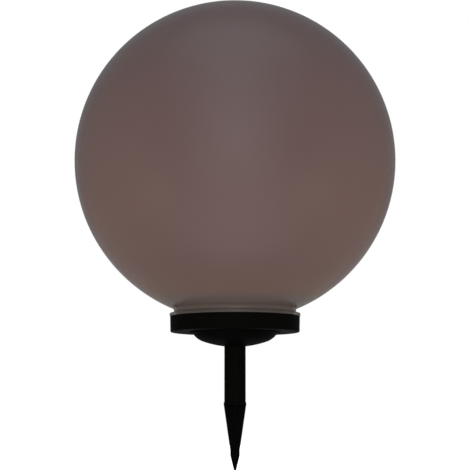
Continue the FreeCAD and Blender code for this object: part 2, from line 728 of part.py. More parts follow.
def battery_door():
    low = DOME_BOTTOM
    skin = dome_layer(door_outline(0.0, low, PLATE_TOP), 0.0, DOOR_T)
    bosses = [within_dome(disc(DOOR_BOSS_R, low, DOOR_INNER, *at)) for at in DOOR_EARS]
    side = BOX_HALF_W - DOOR_GAP
    half_l = BOX_HALF_L - DOOR_RIB_END
    top = DOME_BOTTOM + DOOR_RIB_TOP
    ribs = [
        within_dome(block(-half_l, half_l, BATTERY_Y + a, BATTERY_Y + b, low, top), DOOR_T / 2)
        for a, b in ((-side, DOOR_RIB_T - side), (side - DOOR_RIB_T, side))
    ]
    holes = []
    for at in DOOR_EARS:
        holes.append(disc(DOOR_HEAD_R + SCREW_HOLE_GAP, low - OVERRUN, DOOR_SEAT, *at))
        holes.append(disc(DOOR_SCREW_R + SCREW_HOLE_GAP, low, DOOR_INNER + OVERRUN, *at))
    return joined(skin, *bosses, *ribs).cut(holes)


def door_screws():
    sizes = (DOOR_SEAT, DOOR_SCREW_R, DOOR_SCREW_LENGTH, DOOR_HEAD_R, DOOR_HEAD_H)
    return Part.makeCompound([screw_up(*at, *sizes) for at in DOOR_EARS])


# ---- Power button ----
def power_button():
    face = BASE_BOTTOM - BUTTON_PROUD
    cap = disc(BUTTON_R, face, face + BUTTON_T, 0, BUTTON_Y)
    cap = cap.makeChamfer(BUTTON_EDGE, rings_at(cap, (BUTTON_R, face)))
    return joined(cap, disc(PLUNGER_R, face + BUTTON_T, face + BUTTON_T + PLUNGER_L, 0, BUTTON_Y))


def button_seal():
    inner = BUTTON_R + SEAL_GAP
    return ring(inner, inner + SEAL_W, BASE_BOTTOM - 0.6, PLATE_TOP, 0, BUTTON_Y)


def switch_body():
    half = SWITCH_SIDE / 2
    body = block(-half, half, BUTTON_Y - half, BUTTON_Y + half, PLATE_TOP, PLATE_TOP + SWITCH_H)
    plunger_top = BASE_BOTTOM - BUTTON_PROUD + BUTTON_T + PLUNGER_L
    well_top = plunger_top + BUTTON_TRAVEL + PLUNGER_GAP
    return body.cut(disc(PLUNGER_R + PLUNGER_GAP, PLATE_TOP - OVERRUN, well_top, 0, BUTTON_Y))


# ---- Panel tray ----
def tray_bosses():
    """Bosses outside the tray's wall that the housing screws bite into, each on a straight-sided web."""
    low, top = FLOOR_TOP, FLOOR_TOP + TRAY_BOSS_H
    web = block(TRAY_R - TRAY_WALL / 2, SCREW_CIRCLE_R, -TRAY_BOSS_R, TRAY_BOSS_R, low, top)
    discs = [disc(TRAY_BOSS_R, low, top, *at) for at in SCREWS]
    return discs + [turned(web, a) for a in around(SCREW_COUNT, SCREW_AT)]


def stake_places():
    places = []
    for a in around(LAMP_COUNT, 0.0):
        for side in (-STAKE_SPACING / 2, STAKE_SPACING / 2):
            out, across = polar(LAMP_CIRCLE_R, a), polar(side, a + 90)
            places.append((out[0] + across[0], out[1] + across[1]))
    return places


def panel_tray():
    shell = revolved(
        (0, TRAY_TOP),
        (TRAY_R, TRAY_TOP),
        (TRAY_R, FLOOR_TOP),
        (SPIGOT_R, FLOOR_TOP),
        (SPIGOT_R, FLOOR_TOP - SPIGOT_H),
        (SPIGOT_IN_R, FLOOR_TOP - SPIGOT_H),
        (SPIGOT_IN_R, FLOOR_TOP + TRAY_WALL),
        (TRAY_IN_R, FLOOR_TOP + TRAY_WALL),
        (TRAY_IN_R, PLATE_UNDER),
        (0, PLATE_UNDER),
    )
    shell = shell.makeChamfer(TRAY_EDGE, rings_at(shell, (TRAY_R, TRAY_TOP)))
    tub = block(-TUB_HALF, TUB_HALF, -TUB_HALF, TUB_HALF, TUB_BOTTOM, PLATE_UNDER + SHELL / 2)
    posts = [disc(POST_R, BOARD_TOP, TUB_BOTTOM + SHELL / 2, x, 0) for x in POSTS]
    low, top = LAMP_BOARD_TOP - BOARD_T - STAKE_PROUD, PLATE_UNDER + SHELL / 2
    stakes = [disc(STAKE_R, low, top, *at) for at in stake_places()]
    body = joined(shell, tub, *tray_bosses(), *posts, *stakes)
    half = PANEL_SIDE / 2 + PANEL_GAP
    cuts = [block(-half, half, -half, half, PANEL_FLOOR, TRAY_TOP + OVERRUN)]
    pilot_top = SCREW_SEAT + SCREW_LENGTH + PILOT_SPARE
    cuts += [disc(SCREW_R + PILOT_GAP, FLOOR_TOP - OVERRUN, pilot_top, *at) for at in SCREWS]
    lamp_hole_r = LAMP_R + LAMP_HOLE_GAP
    cuts += [disc(lamp_hole_r, PLATE_UNDER - OVERRUN, TRAY_TOP + OVERRUN, *at) for at in LAMPS]
    pilot_top = BOARD_BOTTOM + BOARD_SCREW_LENGTH + PILOT_SPARE
    cuts += [disc(BOARD_SCREW_R + PILOT_GAP, BOARD_TOP - OVERRUN, pilot_top, x, 0) for x in POSTS]
    low, top = TUB_BOTTOM - OVERRUN, PANEL_FLOOR + OVERRUN
    cuts += [disc(LEAD_R + LEAD_GAP, low, top, x, 0) for x in (-LEAD_SPACING / 2, LEAD_SPACING / 2)]
    half = SWITCH_SIDE / 2 + SWITCH_ROOM
    low = FLOOR_TOP - SPIGOT_H - OVERRUN
    cuts.append(block(-half, half, SPIGOT_IN_R - 2 * OVERRUN, TRAY_R, low, FLOOR_TOP))
    return body.cut(cuts)


def cell_places():
    half = CELL_PITCH / 2
    return [(x, y) for x in (-half, half) for y in (-half, half)]


def solar_panel_board():
    half = PANEL_SIDE / 2
    return block(-half, half, -half, half, PANEL_FLOOR, CELL_FACE)


def solar_cells():
    half = CELL_SIDE / 2
    return Part.makeCompound([
        block(x - half, x + half, y - half, y + half, CELL_FACE, CELL_FACE + CELL_T) for x, y in cell_places()
    ])


def cell_ribbons():
    """Two tinned ribbons over each cell."""
    half, low = CELL_SIDE / 2, CELL_FACE + CELL_T
    return Part.makeCompound([
        block(x + dx - RIBBON_W / 2, x + dx + RIBBON_W / 2, y - half, y + half, low, low + RIBBON_T)
        for x, y in cell_places()
        for dx in (-RIBBON_OFFSET, RIBBON_OFFSET)
    ])


def panel_resin():
    half = PANEL_SIDE / 2
    resin = block(-half, half, -half, half, CELL_FACE, CELL_FACE + PANEL_RESIN_T)
    upright = [e for e in resin.Edges if all(v.Z > CELL_FACE + TOL for v in e.Vertexes)]
    return resin.makeChamfer(0.4, upright).cut([solar_cells(), cell_ribbons()])


# ---- Lamps ----
def led_lamps():
    """Round-nosed lamps that stand up through the tray around the panel."""
    lamps = []
    for x, y in LAMPS:
        rim = disc(LAMP_RIM_R, LAMP_BOARD_TOP, PLATE_UNDER, x, y)
        nose_z = PLATE_UNDER + LAMP_H
        body = disc(LAMP_R, PLATE_UNDER - LAMP_RIM_T / 2, nose_z, x, y)
        nose = Part.makeSphere(LAMP_R, V(x, y, nose_z))
        lamps.append(joined(rim, body, nose))
    return Part.makeCompound(lamps)


def led_boards():
    half, low, top = LAMP_BOARD_L / 2, LAMP_BOARD_TOP - BOARD_T, LAMP_BOARD_TOP
    flat = block(LAMP_BOARD_NEAR, LAMP_BOARD_FAR, -half, half, low, top)
    holes = [disc(STAKE_R + STAKE_GAP, low - OVERRUN, top + OVERRUN, *at) for at in stake_places()]
    return Part.makeCompound([turned(flat, a).cut(holes) for a in around(LAMP_COUNT, 0.0)])


# ---- Control board ----
def control_board():
    board = block(-BOARD_L / 2, BOARD_L / 2, -BOARD_W / 2, BOARD_W / 2, BOARD_BOTTOM, BOARD_TOP)
    hole_r = BOARD_SCREW_R + SCREW_HOLE_GAP
    return board.cut([disc(hole_r, BOARD_BOTTOM - OVERRUN, BOARD_TOP + OVERRUN, x, 0) for x in POSTS])


def board_components():
    """Chip, choke, capacitor and two lead sockets on the board's underside."""
    low = BOARD_BOTTOM
    length, width, height = CHIP
    chip = block(-length / 2, length / 2, -width / 2, width / 2, low - height, low)
    choke = disc(COIL_R, low - COIL_H, low, *COIL_AT)
    capacitor = disc(CAPACITOR_R, low - CAPACITOR_H, low, *CAPACITOR_AT)
    capacitor = capacitor.makeChamfer(0.3, rings_at(capacitor, (CAPACITOR_R, low - CAPACITOR_H)))
    length, width, height = SOCKET_BLOCK
    near, far = SOCKETS_Y - width / 2, SOCKETS_Y + width / 2
    sockets = [block(x - length / 2, x + length / 2, near, far, low - height, low) for x in SOCKETS_X]
    return Part.makeCompound([chip, choke, capacitor, *sockets])


def board_screws():
    sizes = (BOARD_BOTTOM, BOARD_SCREW_R, BOARD_SCREW_LENGTH, BOARD_SCREW_HEAD_R, BOARD_SCREW_HEAD_H)
    return Part.makeCompound([screw_up(x, 0, *sizes) for x in POSTS])


# ---- Leads ----
def panel_lead(side):
    x = side * LEAD_SPACING / 2
    return disc(LEAD_R, BOARD_TOP, PANEL_FLOOR, x, 0)


def battery_lead(side):
    """From a contact's tab up to the underside of the board."""
    x, y = side * (BOX_OUT_L + TAB_REACH - LEAD_R - TOL), BATTERY_Y + TAB_OFFSET
    over, end_x, end_y = BOX_IN_TOP + BOX_WALL + 3, side * (BOARD_L / 2 - 4), BOARD_W / 2 - 3
    return lead(
        (x, y, BATTERY_Z + CONTACT_SIDE / 2),
        (x, y, over),
        (end_x, end_y, BOARD_BOTTOM - 4.5),
        (end_x, end_y, BOARD_BOTTOM),
    )


def switch_leads():
    """A pair from the switch, under the tray's spigot and over the battery box to the board."""
    start = BUTTON_Y - SWITCH_SIDE / 2
    low = PLATE_TOP + LEAD_R + LEAD_GAP
    over, clear, end_y = BOX_IN_TOP + BOX_WALL + 3, BATTERY_Y + BOX_OUT_W + LEAD_CLEAR, BOARD_W / 2 - LEAD_IN
    return Part.makeCompound([
        lead(
            (x, start, low),
            (x, clear + LEAD_RUN, low),
            (x, clear, over),
            (x, end_y, BOARD_BOTTOM - 6),
            (x, end_y, BOARD_BOTTOM),
        )
        for x in (-SWITCH_LEADS_X, SWITCH_LEADS_X)
    ])


def led_leads():
    """A lead from each lamp board in to the control board's top."""
    start, low = LAMP_CIRCLE_R - 4, LAMP_BOARD_TOP - BOARD_T
    leads = []
    for a in around(LAMP_COUNT, 0.0):
        end = (BOARD_L if abs(polar(1, a)[0]) > 0.5 else BOARD_W) / 2 - 3
        level = (low + BOARD_TOP) / 2
        route = ((start, low), (start, level), (end, level), (end, BOARD_TOP))
        leads.append(turned(lead(*[(x, LEAD_SIDE, z) for x, z in route]), a))
    return Part.makeCompound(leads)


# ---- Stem and spike ----
def stem_tube():
    low = SPIKE_FLANGE_T
    tube = ring(STEM_BORE_R, STEM_R, low, SOCKET_TOP)
    ends = rings_at(tube, (STEM_R, low), (STEM_R, SOCKET_TOP), (STEM_BORE_R, low))
    tube = tube.makeChamfer(STEM_CHAMFER, ends)
    half = KEY_W / 2 + KEY_GAP
    slot = block(-half, half, -STEM_R - OVERRUN, 0, SOCKET_TOP - KEY_H - KEY_GAP, SOCKET_TOP + OVERRUN)
    return tube.cut(slot)


def fin(half_top, half_low, low):
    """A fin in the XZ plane whose faces draw in to thin edges, from the flange down to low."""
    sections = []
    for z, half in ((0.0, half_top), (low, half_low)):
        thick, thin = FIN_T / 2, FIN_EDGE_T / 2
        plan = [(-half, -thin), (0, -thick), (half, -thin), (half, thin), (0, thick), (-half, thin)]
        plan.append(plan[0])
        sections.append(Part.makePolygon([V(x, y, z) for x, y in plan]))
    return Part.makeLoft(sections, True, True)


def plug():
    """The cross that pushes into the stem."""
    top = SPIKE_FLANGE_T + PLUG_LENGTH
    radius = STEM_BORE_R - PLUG_GAP
    half = FIN_T / 2
    arms = joined(
        block(-radius, radius, -half, half, 0, top),
        block(-half, half, -radius, radius, 0, top),
        disc(CORE_R, 0, top),
    )
    rounding = revolved(
        (0, 0), (radius, 0), (radius, top - PLUG_LEAD), (radius - PLUG_LEAD / 2, top), (0, top)
    )
    return arms.common(rounding)


def ground_spike():
    flange = disc(SPIKE_FLANGE_R, 0, SPIKE_FLANGE_T)
    flange = flange.makeChamfer(STEM_CHAMFER, rings_at(flange, (SPIKE_FLANGE_R, SPIKE_FLANGE_T)))
    blade = fin(SPIKE_FLANGE_R - 0.05, SPIKE_POINT_R, -SPIKE_TAPER)
    point = revolved(
        (0, -SPIKE_TAPER + 3),
        (SPIKE_POINT_R - 2.0, -SPIKE_TAPER + 1.5),
        (SPIKE_POINT_R, -SPIKE_TAPER),
        (SPIKE_POINT_R, -SPIKE_TAPER - SPIKE_POINT_BODY),
        (SPIKE_TIP_R, -SPIKE_LENGTH + SPIKE_TIP_R),
        (0, -SPIKE_LENGTH),
    )
    core = disc(CORE_R, -SPIKE_TAPER, 0)
    return joined(flange, blade, turned(blade, 90), core, point, plug())


NODES = {
    "globe_shell": globe_shell,
    "globe_gasket": globe_gasket,
    "collar_ring": collar_ring,
    "lower_cover": lower_cover,
    "cover_seal": cover_seal,
    "housing_screws": housing_screws,
    "battery_cell": battery_cell,
    "battery_plate_contact": battery_plate_contact,
    "battery_spring_contact": battery_spring_contact,
    "battery_door": battery_door,
    "door_screws": door_screws,
    "power_button": power_button,
    "button_seal": button_seal,
    "switch_body": switch_body,
    "panel_tray": panel_tray,
    "solar_panel_board": solar_panel_board,
    "solar_cells": solar_cells,
    "cell_ribbons": cell_ribbons,
    "panel_resin": panel_resin,
    "led_lamps": led_lamps,
    "led_boards": led_boards,
    "control_board": control_board,
    "board_components": board_components,
    "board_screws": board_screws,
    "panel_lead_red": lambda: panel_lead(1),
    "panel_lead_black": lambda: panel_lead(-1),
    "battery_lead_red": lambda: battery_lead(1),
    "battery_lead_black": lambda: battery_lead(-1),
    "switch_leads": switch_leads,
    "led_leads": led_leads,
    "stem_tube": stem_tube,
    "ground_spike": ground_spike,
}


def main():
    os.makedirs(PARTS, exist_ok=True)
    for name, make in NODES.items():
        shape = make()
        solids = shape.Solids
        sound = all(s.isValid() and s.isClosed() and s.Volume > 0 for s in solids)
        print(f"{name}: {len(solids)} solids, {shape.Volume / 1000:.2f} cm3, sound {sound}")
        kept = solids[0] if len(solids) == 1 else Part.makeCompound(solids)
        kept.exportStep(os.path.join(PARTS, f"{name}.step"))


main()
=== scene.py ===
"""Garden globe light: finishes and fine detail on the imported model.

A smoked globe on a black base, with a stem and a ground spike. The file is laid out as an add-on: the
property groups hold the sizes and colours, each operator makes or finishes one piece or group of pieces,
and main() calls them in order.
"""

import math
from functools import cache

import bpy
from bpy.props import FloatProperty, FloatVectorProperty, PointerProperty
from bpy.types import Operator, Panel, PropertyGroup
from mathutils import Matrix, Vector


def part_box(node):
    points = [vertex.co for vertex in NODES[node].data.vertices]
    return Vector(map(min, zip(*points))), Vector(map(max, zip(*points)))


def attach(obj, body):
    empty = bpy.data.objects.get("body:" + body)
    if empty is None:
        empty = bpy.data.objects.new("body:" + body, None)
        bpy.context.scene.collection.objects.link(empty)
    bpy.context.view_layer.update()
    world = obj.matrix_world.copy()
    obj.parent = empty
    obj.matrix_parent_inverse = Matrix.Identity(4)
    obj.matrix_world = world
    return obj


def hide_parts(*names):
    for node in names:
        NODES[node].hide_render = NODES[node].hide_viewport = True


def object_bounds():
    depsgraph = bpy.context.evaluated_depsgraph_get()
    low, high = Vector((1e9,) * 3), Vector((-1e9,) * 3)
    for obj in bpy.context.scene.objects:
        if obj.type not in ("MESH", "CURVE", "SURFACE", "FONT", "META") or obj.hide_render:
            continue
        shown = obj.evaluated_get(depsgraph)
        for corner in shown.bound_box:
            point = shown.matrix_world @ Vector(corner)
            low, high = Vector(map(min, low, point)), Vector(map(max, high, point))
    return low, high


bl_info = {
    "name": "Garden globe light",
    "version": (1, 0, 0),
    "blender": (4, 5, 0),
    "location": "3D View > Sidebar > Globe light",
    "description": "Finishes and fine detail for a solar garden globe light on a ground spike",
    "category": "Object",
}

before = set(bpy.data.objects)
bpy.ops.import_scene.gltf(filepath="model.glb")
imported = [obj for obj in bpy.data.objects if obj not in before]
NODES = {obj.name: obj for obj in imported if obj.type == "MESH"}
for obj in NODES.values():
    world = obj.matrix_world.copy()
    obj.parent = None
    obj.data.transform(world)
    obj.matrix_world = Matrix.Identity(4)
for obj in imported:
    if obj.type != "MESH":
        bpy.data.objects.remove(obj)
CAD_BOX = [list(corner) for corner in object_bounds()]
GLOBE_LOW, GLOBE_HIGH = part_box("globe_shell")
FLOOR_Z = CAD_BOX[0][2]
MM = 0.001

# ---- Meshes ----
# Steps in the globe's profile: down the outside of the ball, up its inside, and round each small rounding.
OUTSIDE_STEPS, INSIDE_STEPS, ROUNDING_STEPS = 110, 90, 6
# Flats round the globe, round a small turned piece and along a bayonet lug.
GLOBE_FLATS, SMALL_FLATS, LUG_FLATS = 180, 24, 8
SMOOTH_ANGLE = math.radians(32.0)
SAME_POINT = 0.001 * MM
# Ends of leads: how level the points of one end lie, and how close together.
END_LEVEL, END_WIDTH = 0.01 * MM, 2.0 * MM

# Small turned pieces, as (radius, height) in mm down the outside. A ridge is given from its own radius.
RIDGE = ((0.2, 0.05), (0.2, -0.2), (0.1, -0.28), (-0.1, -0.28), (-0.2, -0.2), (-0.2, 0.05), (0.2, 0.05))
RIDGES = {"inner": 2.0, "outer": 3.3}
CUP_DISH = ((0.0, 0.15), (0.35, 0.15), (0.95, 0.9), (1.1, 0.9), (1.1, -0.1))
CUP = (*CUP_DISH, (0.45, -0.5), (0.45, -2.7), (0.0, -2.7))
POST = ((0.0, 0.6), (0.35, 0.6), (0.35, -2.7), (0.0, -2.7))
FILLING = ((0.0, 0.75), (0.82, 0.75), (0.35, 0.2), (0.0, 0.2))
CONE = ((0.0, 0.95), (0.66, 0.9), (0.72, 0.5), (0.95, 0.15), (1.15, 0.0), (0.0, 0.0))
# In a lamp: its rim's radius, how far the cup lies under its top, and how far the second post stands aside.
LAMP_RIM, CUP_DOWN, POST_ASIDE = 2.9 * MM, 5.3 * MM, 1.7 * MM

# ---- Finishes ----
WHITE = (1.0, 1.0, 1.0)
BUTTON_GREY = (0.02, 0.02, 0.022)
SWITCH_GREY = (0.05, 0.05, 0.05)
# The values of a noise that are spread over the whole of a colour or roughness.
NOISE_SPAN = (0.3, 0.7)
# How far a face turns from the viewer where the globe's wall begins to hide more, and where it hides all.
RIM_TURN = (0.6, 0.85)
# Where the globe's colours stand on the way up from its flange, as shares of the smoke's rise. They paint
# shade and light into the smoke: painted shade at the flange, painted light at the crease, painted shade
# and sheen in front of the tray, and painted warm light low on the ball.
SHADE_AND_LIGHT_STOPS = (0.0, 0.03, 0.22, 0.42, 1.0)
SILICON = ((0.0, (0.004, 0.009, 0.04)), (1.0, (0.012, 0.03, 0.11)))
SILVER_PRINT = (0.5, 0.51, 0.52)
PRINT_SHARE = 0.05
# Bands along the cell's sleeve: the bare end, green, a pale band and the end at the cap.
SLEEVE = (
    (0.0, (0.6, 0.6, 0.6)),
    (0.02, (0.02, 0.12, 0.04)),
    (0.78, (0.5, 0.5, 0.48)),
    (0.955, (0.62, 0.6, 0.55)),
)
# From the front of the board to its back: lead sockets, a chip, and a copper choke.
COMPONENTS = ((0.0, (0.55, 0.54, 0.5)), (0.25, (0.012, 0.012, 0.012)), (0.65, (0.3, 0.11, 0.04)))
CAPACITOR_BLUE = (0.01, 0.015, 0.05)
CAPACITOR_FRONT = 4.0 * MM
RED_LEADS = ("panel_lead_red", "battery_lead_red", "led_leads")
BLACK_LEADS = ("panel_lead_black", "battery_lead_black", "switch_leads")
ON_PANEL = ("panel_lead_red", "panel_lead_black", "led_leads")
UNDER_BOARD = ("battery_lead_red", "battery_lead_black", "switch_leads", "led_leads")

# ---- Stage ----
COOL, PLAIN, WARM = (0.87, 0.93, 0.98), (1.0, 0.96, 0.93), (1.0, 0.81, 0.5)
LAMP_AIM = Vector((0.0, 0.0, 0.3))
# Each lamp's place, size, power in watts and colour.
LAMPS = {
    "lamp_top": ((0.0, 0.0, 3.4), (2.4, 2.4), 5.0, COOL),
    "lamp_front": ((0.0, -3.4, 0.3), (1.1, 1.6), 22.0, PLAIN),
    "lamp_high_front": ((0.0, -2.2, 2.4), (1.5, 3.6), 36.0, COOL),
    "lamp_low_front_left": ((-0.6, -0.4, -0.05), (0.3, 0.3), 2.5, WARM),
    "lamp_low_front_right": ((0.6, -0.4, -0.05), (0.3, 0.3), 2.5, WARM),
    "lamp_back": ((0.0, 3.4, 0.3), (1.1, 1.6), 22.0, PLAIN),
    "lamp_high_back": ((0.0, 2.2, 2.4), (1.5, 3.6), 36.0, COOL),
    "lamp_low_back_left": ((-0.42, 0.6, -0.05), (0.3, 0.3), 1.3, WARM),
    "lamp_low_back_right": ((0.42, 0.6, -0.05), (0.3, 0.3), 1.3, WARM),
}
# In reflections: how far back a direction points where the white backdrop begins and is full, how far
# sideways one points where the white in front begins to fade and ends, and how far back one points where
# the white in front and the white of the floor begin to fade and end. The floor's directions are seen from
# the front of the ball.
BACKDROP_EDGE = (0.965, 1.0)
BAND_EDGE = (0.0, 1.0)
BAND_DEPTH = (-0.2, 0.6)
FLOOR_DEPTH = (-0.4, 0.2)
BALL_FRONT = (0.0, -0.15, 0.3)
# The white in front is this bright before it fades and after.
BAND_WHITE = (1.0, 0.15)
MIRRORED_TINT = (0.85, 0.96, 1.0)
FLOOR_REACH = 12.0
# The floor's own glow where light falls from it and where the camera sees it, its glow in reflections
# outside the white in front and within it, and its paint outside reflections and in them.
FLOOR_GLOW = (0.13, 0.83)
FLOOR_MIRRORED = (0.16, 0.8)
FLOOR_PAINT = (0.8, 0.1)


def length(name, default, description):
    """A length in metres that a user may change."""
    return FloatProperty(name=name, default=default, description=description, unit="LENGTH", precision=4)


def angle(name, degrees, description):
    """An angle that a user may change."""
    return FloatProperty(name=name, default=math.radians(degrees), description=description, subtype="ANGLE")


def share(name, default, description):
    """A part of a whole, from 0 to 1."""
    return FloatProperty(name=name, default=default, description=description, min=0.0, max=1.0)


def colour(name, default, description):
    """A colour that a user may change."""
    return FloatVectorProperty(
        name=name, default=default, description=description, subtype="COLOR", min=0.0, max=1.0
    )


class GlobeLightSizes(PropertyGroup):
    """Sizes of the globe."""

    globe_r: length("Globe radius", 0.2, "Outer radius of the ball")
    globe_wall: length("Globe wall", 0.0025, "Wall of the ball")
    neck_r: length("Neck radius", 0.0756, "Outer radius of the neck under the ball")
    neck_wall: length("Neck wall", 0.003, "Wall of the neck")
    neck_blend: length("Neck blend", 0.0035, "Radius where the ball runs into the neck")
    flange_r: length("Flange radius", 0.081, "Outer radius of the neck's flange")
    flange_t: length("Flange height", 0.0041, "Height of the neck's flange")
    flange_low: length("Flange underside", 0.1085, "Height of the flange's underside")
    flange_round: length("Flange rounding", 0.0012, "Rounding of the flange's edges")
    smoke_rise: length("Smoke rise", 0.052, "Height over the flange at which the ball has its full colour")
    lug_reach: length("Lug reach", 0.0024, "How far a bayonet lug stands out of the neck")
    lug_t: length("Lug height", 0.0033, "Height of a bayonet lug")
    lug_top: length("Lug top", 0.1049, "Height of a lug's upper face")
    lug_width: angle("Lug width", 14.0, "How far round the neck a lug goes")
    lug_first: angle("First lug", 30.0, "Where the first of the three lugs stands")


class GlobeLightFinish(PropertyGroup):
    """Colours of the pieces as they leave the mould, and the globe's colours by height, which are painted
    shade and light.
    """

    smoke: colour("Smoke", (0.134, 0.087, 0.086), "Colour of the smoked globe")
    # Painted light: a warmer, brighter colour low on the ball, for the warm light that falls there from
    # below.
    smoke_low_warm_light: colour("Smoke over the tray", (0.143, 0.092, 0.083), "Colour low on the ball")
    # Painted shade and painted reflection: a greyer colour where the dark tray lies behind the wall, with
    # the white floor's sheen painted in.
    smoke_tray_shade_and_sheen: colour("Smoke at the tray", (0.129, 0.102, 0.099), "Colour in front of the dark tray")
    # Painted light: lighter than the flange's colour, at the neck and round it, to offset the shade in the
    # crease where the ball meets the neck.
    smoke_crease_light: colour("Smoke at the neck", (0.121, 0.094, 0.091), "Colour of the neck and round it")
    # Painted shade: the darkest colour, on the flange and the neck below it, where the wall is shaded and
    # the dark tray lies behind it.
    smoke_flange_shade: colour("Smoke at the flange", (0.071, 0.0625, 0.059), "Colour of the thick flange")
    smoke_cover: share("Smoke cover", 0.94, "How much of the light one wall of the globe holds back")
    black: colour("Black plastic", (0.0021, 0.0021, 0.0021), "Colour of the moulded black pieces")
    rubber: colour("Rubber", (0.004, 0.004, 0.0045), "Colour of the seals")
    finger_pitch: length("Finger pitch", 0.002, "Between the printed lines on a solar cell")


class GlobeLightStage(PropertyGroup):
    """Camera and surroundings."""

    camera_back: length("Camera distance", 2.0, "From the light's axis to the camera")
    camera_z: length("Camera height", -0.0314, "Height of the camera from the ground line")
    camera_up: angle("Camera pitch", 6.89, "How far it looks up")
    camera_lens: FloatProperty(
        name="Lens", default=123.9, description="Focal length in mm on a 36 mm frame"
    )
    around: share("Light from around", 0.335, "Brightness of the surroundings")
    around_mirrored: share("Reflected from the sides", 0.21, "Brightness of the sides in reflections")


class Nodes:
    """A node tree, and short ways to add nodes to it."""

    def __init__(self, tree):
        self.tree = tree

    def add(self, kind, settings=None, **inputs):
        """Adds a node with its settings, and its inputs as links or values, by name or by number after _.
        Gives its outputs."""
        node = self.tree.nodes.new(kind)
        for key, value in (settings or {}).items():
            setattr(node, key, value)
        for key, value in inputs.items():
            spot = int(key[1:]) if key[0] == "_" else key.replace("_", " ")
            self.feed(node.inputs[spot], value)
        return node.outputs

    def feed(self, socket, value):
        """Links an output to a socket or sets its value. A colour without alpha is solid."""
        if isinstance(value, bpy.types.NodeSocket):
            self.tree.links.new(value, socket)
            return
        if socket.type == "RGBA" and len(value) == 3:
            value = (*value, 1.0)
        socket.default_value = value

    def calc(self, operation, first, second=0.0):
        """One step of arithmetic."""
        return self.add("ShaderNodeMath", {"operation": operation}, _0=first, _1=second)[0]

    def scaled(self, value, span, ends=(0.0, 1.0), step="LINEAR"):
        """ends[0] below the span and ends[1] above it, with an even or soft step between."""
        inputs = {"From_Min": span[0], "From_Max": span[1], "To_Min": ends[0], "To_Max": ends[1]}
        return self.add("ShaderNodeMapRange", {"interpolation_type": step}, Value=value, **inputs)["Result"]

    def soft(self, value, span, ends):
        """The same with a soft step."""
        return self.scaled(value, span, ends, "SMOOTHSTEP")

    def noise(self, place, scale, detail):
        """A smooth noise from 0 to 1."""
        return self.add("ShaderNodeTexNoise", Vector=place, Scale=scale, Detail=detail)["Fac"]

    def mixed(self, factor, first, second, blend="MIX"):
        """Two colours mixed by a factor."""
        settings = {"data_type": "RGBA", "blend_type": blend}
        return self.add("ShaderNodeMix", settings, Factor=factor, A=first, B=second)["Result"]

    def ramp(self, value, stops, interpolation="LINEAR"):
        """A colour that follows a value through stops, each a value and its colour, from low to high."""
        made = self.add("ShaderNodeValToRGB", Fac=value)["Color"]
        ramp = made.node.color_ramp
        ramp.interpolation = interpolation
        for place, _ in stops[1:-1]:
            ramp.elements.new(place)
        for element, (place, tone) in zip(ramp.elements, stops):
            element.position = place
            element.color = (*tone, 1.0)
        return made


# ---- Materials ----
class Finish(Nodes):
    """A material with one Principled shader."""

    def __init__(self, name, **values):
        self.material = bpy.data.materials.new(name)
        self.material.use_nodes = True
        super().__init__(self.material.node_tree)
        self.shader = next(n for n in self.tree.nodes if n.type == "BSDF_PRINCIPLED").inputs
        self.place = self.add("ShaderNodeTexCoord")["Object"]
        self.wear(**values)

    def wear(self, **inputs):
        """Feeds the shader's inputs by name."""
        for key, value in inputs.items():
            self.feed(self.shader[key.replace("_", " ")], value)

    def split(self):
        """The place on the piece as X, Y and Z."""
        return self.add("ShaderNodeSeparateXYZ", Vector=self.place)

    def group(self, group, **inputs):
        """Places a shader group with its own values."""
        return self.add("ShaderNodeGroup", {"node_tree": group.tree}, Vector=self.place, **inputs)

    def bump(self, height, distance, strength):
        """Raises the surface where the height is large."""
        made = self.add("ShaderNodeBump", Distance=distance, Strength=strength, Height=height)
        self.wear(Normal=made["Normal"])


class ShaderGroup(Nodes):
    """A group of shader nodes with a Vector input and more named inputs and outputs."""

    def __init__(self, name, inputs, outputs):
        super().__init__(bpy.data.node_groups.new(name, "ShaderNodeTree"))
        face = self.tree.interface
        face.new_socket("Vector", in_out="INPUT", socket_type="NodeSocketVector")
        for kind, label, default in inputs:
            socket = face.new_socket(label, in_out="INPUT", socket_type="NodeSocket" + kind)
            socket.default_value = default
        for kind, label in outputs:
            face.new_socket(label, in_out="OUTPUT", socket_type="NodeSocket" + kind)
        self.given = self.add("NodeGroupInput")
        self.out = self.tree.nodes.new("NodeGroupOutput").inputs


@cache
def moulded_grain():
    """The fine spark-eroded grain of a moulded face, with broad patches that are a little glossier."""
    group = ShaderGroup(
        "moulded_grain",
        (("Float", "Grain", 900.0), ("Float", "Low", 0.4), ("Float", "High", 0.5)),
        (("Float", "Height"), ("Float", "Roughness")),
    )
    given = group.given
    patches = group.noise(given["Vector"], 22.0, 2.0)
    group.feed(group.out["Height"], group.noise(given["Vector"], given["Grain"], 3.0))
    gloss = group.scaled(patches, NOISE_SPAN, (given["Low"], given["High"]))
    group.feed(group.out["Roughness"], gloss)
    return group


@cache
def soft_mottle():
    """Two colours that drift into each other."""
    grey = (0.5, 0.5, 0.5, 1.0)
    group = ShaderGroup(
        "soft_mottle",
        (("Float", "Scale", 10.0), ("Color", "First", grey), ("Color", "Second", grey)),
        (("Color", "Color"), ("Float", "Mask")),
    )
    given = group.given
    mask = group.scaled(group.noise(given["Vector"], given["Scale"], 4.0), NOISE_SPAN)
    group.feed(group.out["Color"], group.mixed(mask, given["First"], given["Second"]))
    group.feed(group.out["Mask"], mask)
    return group


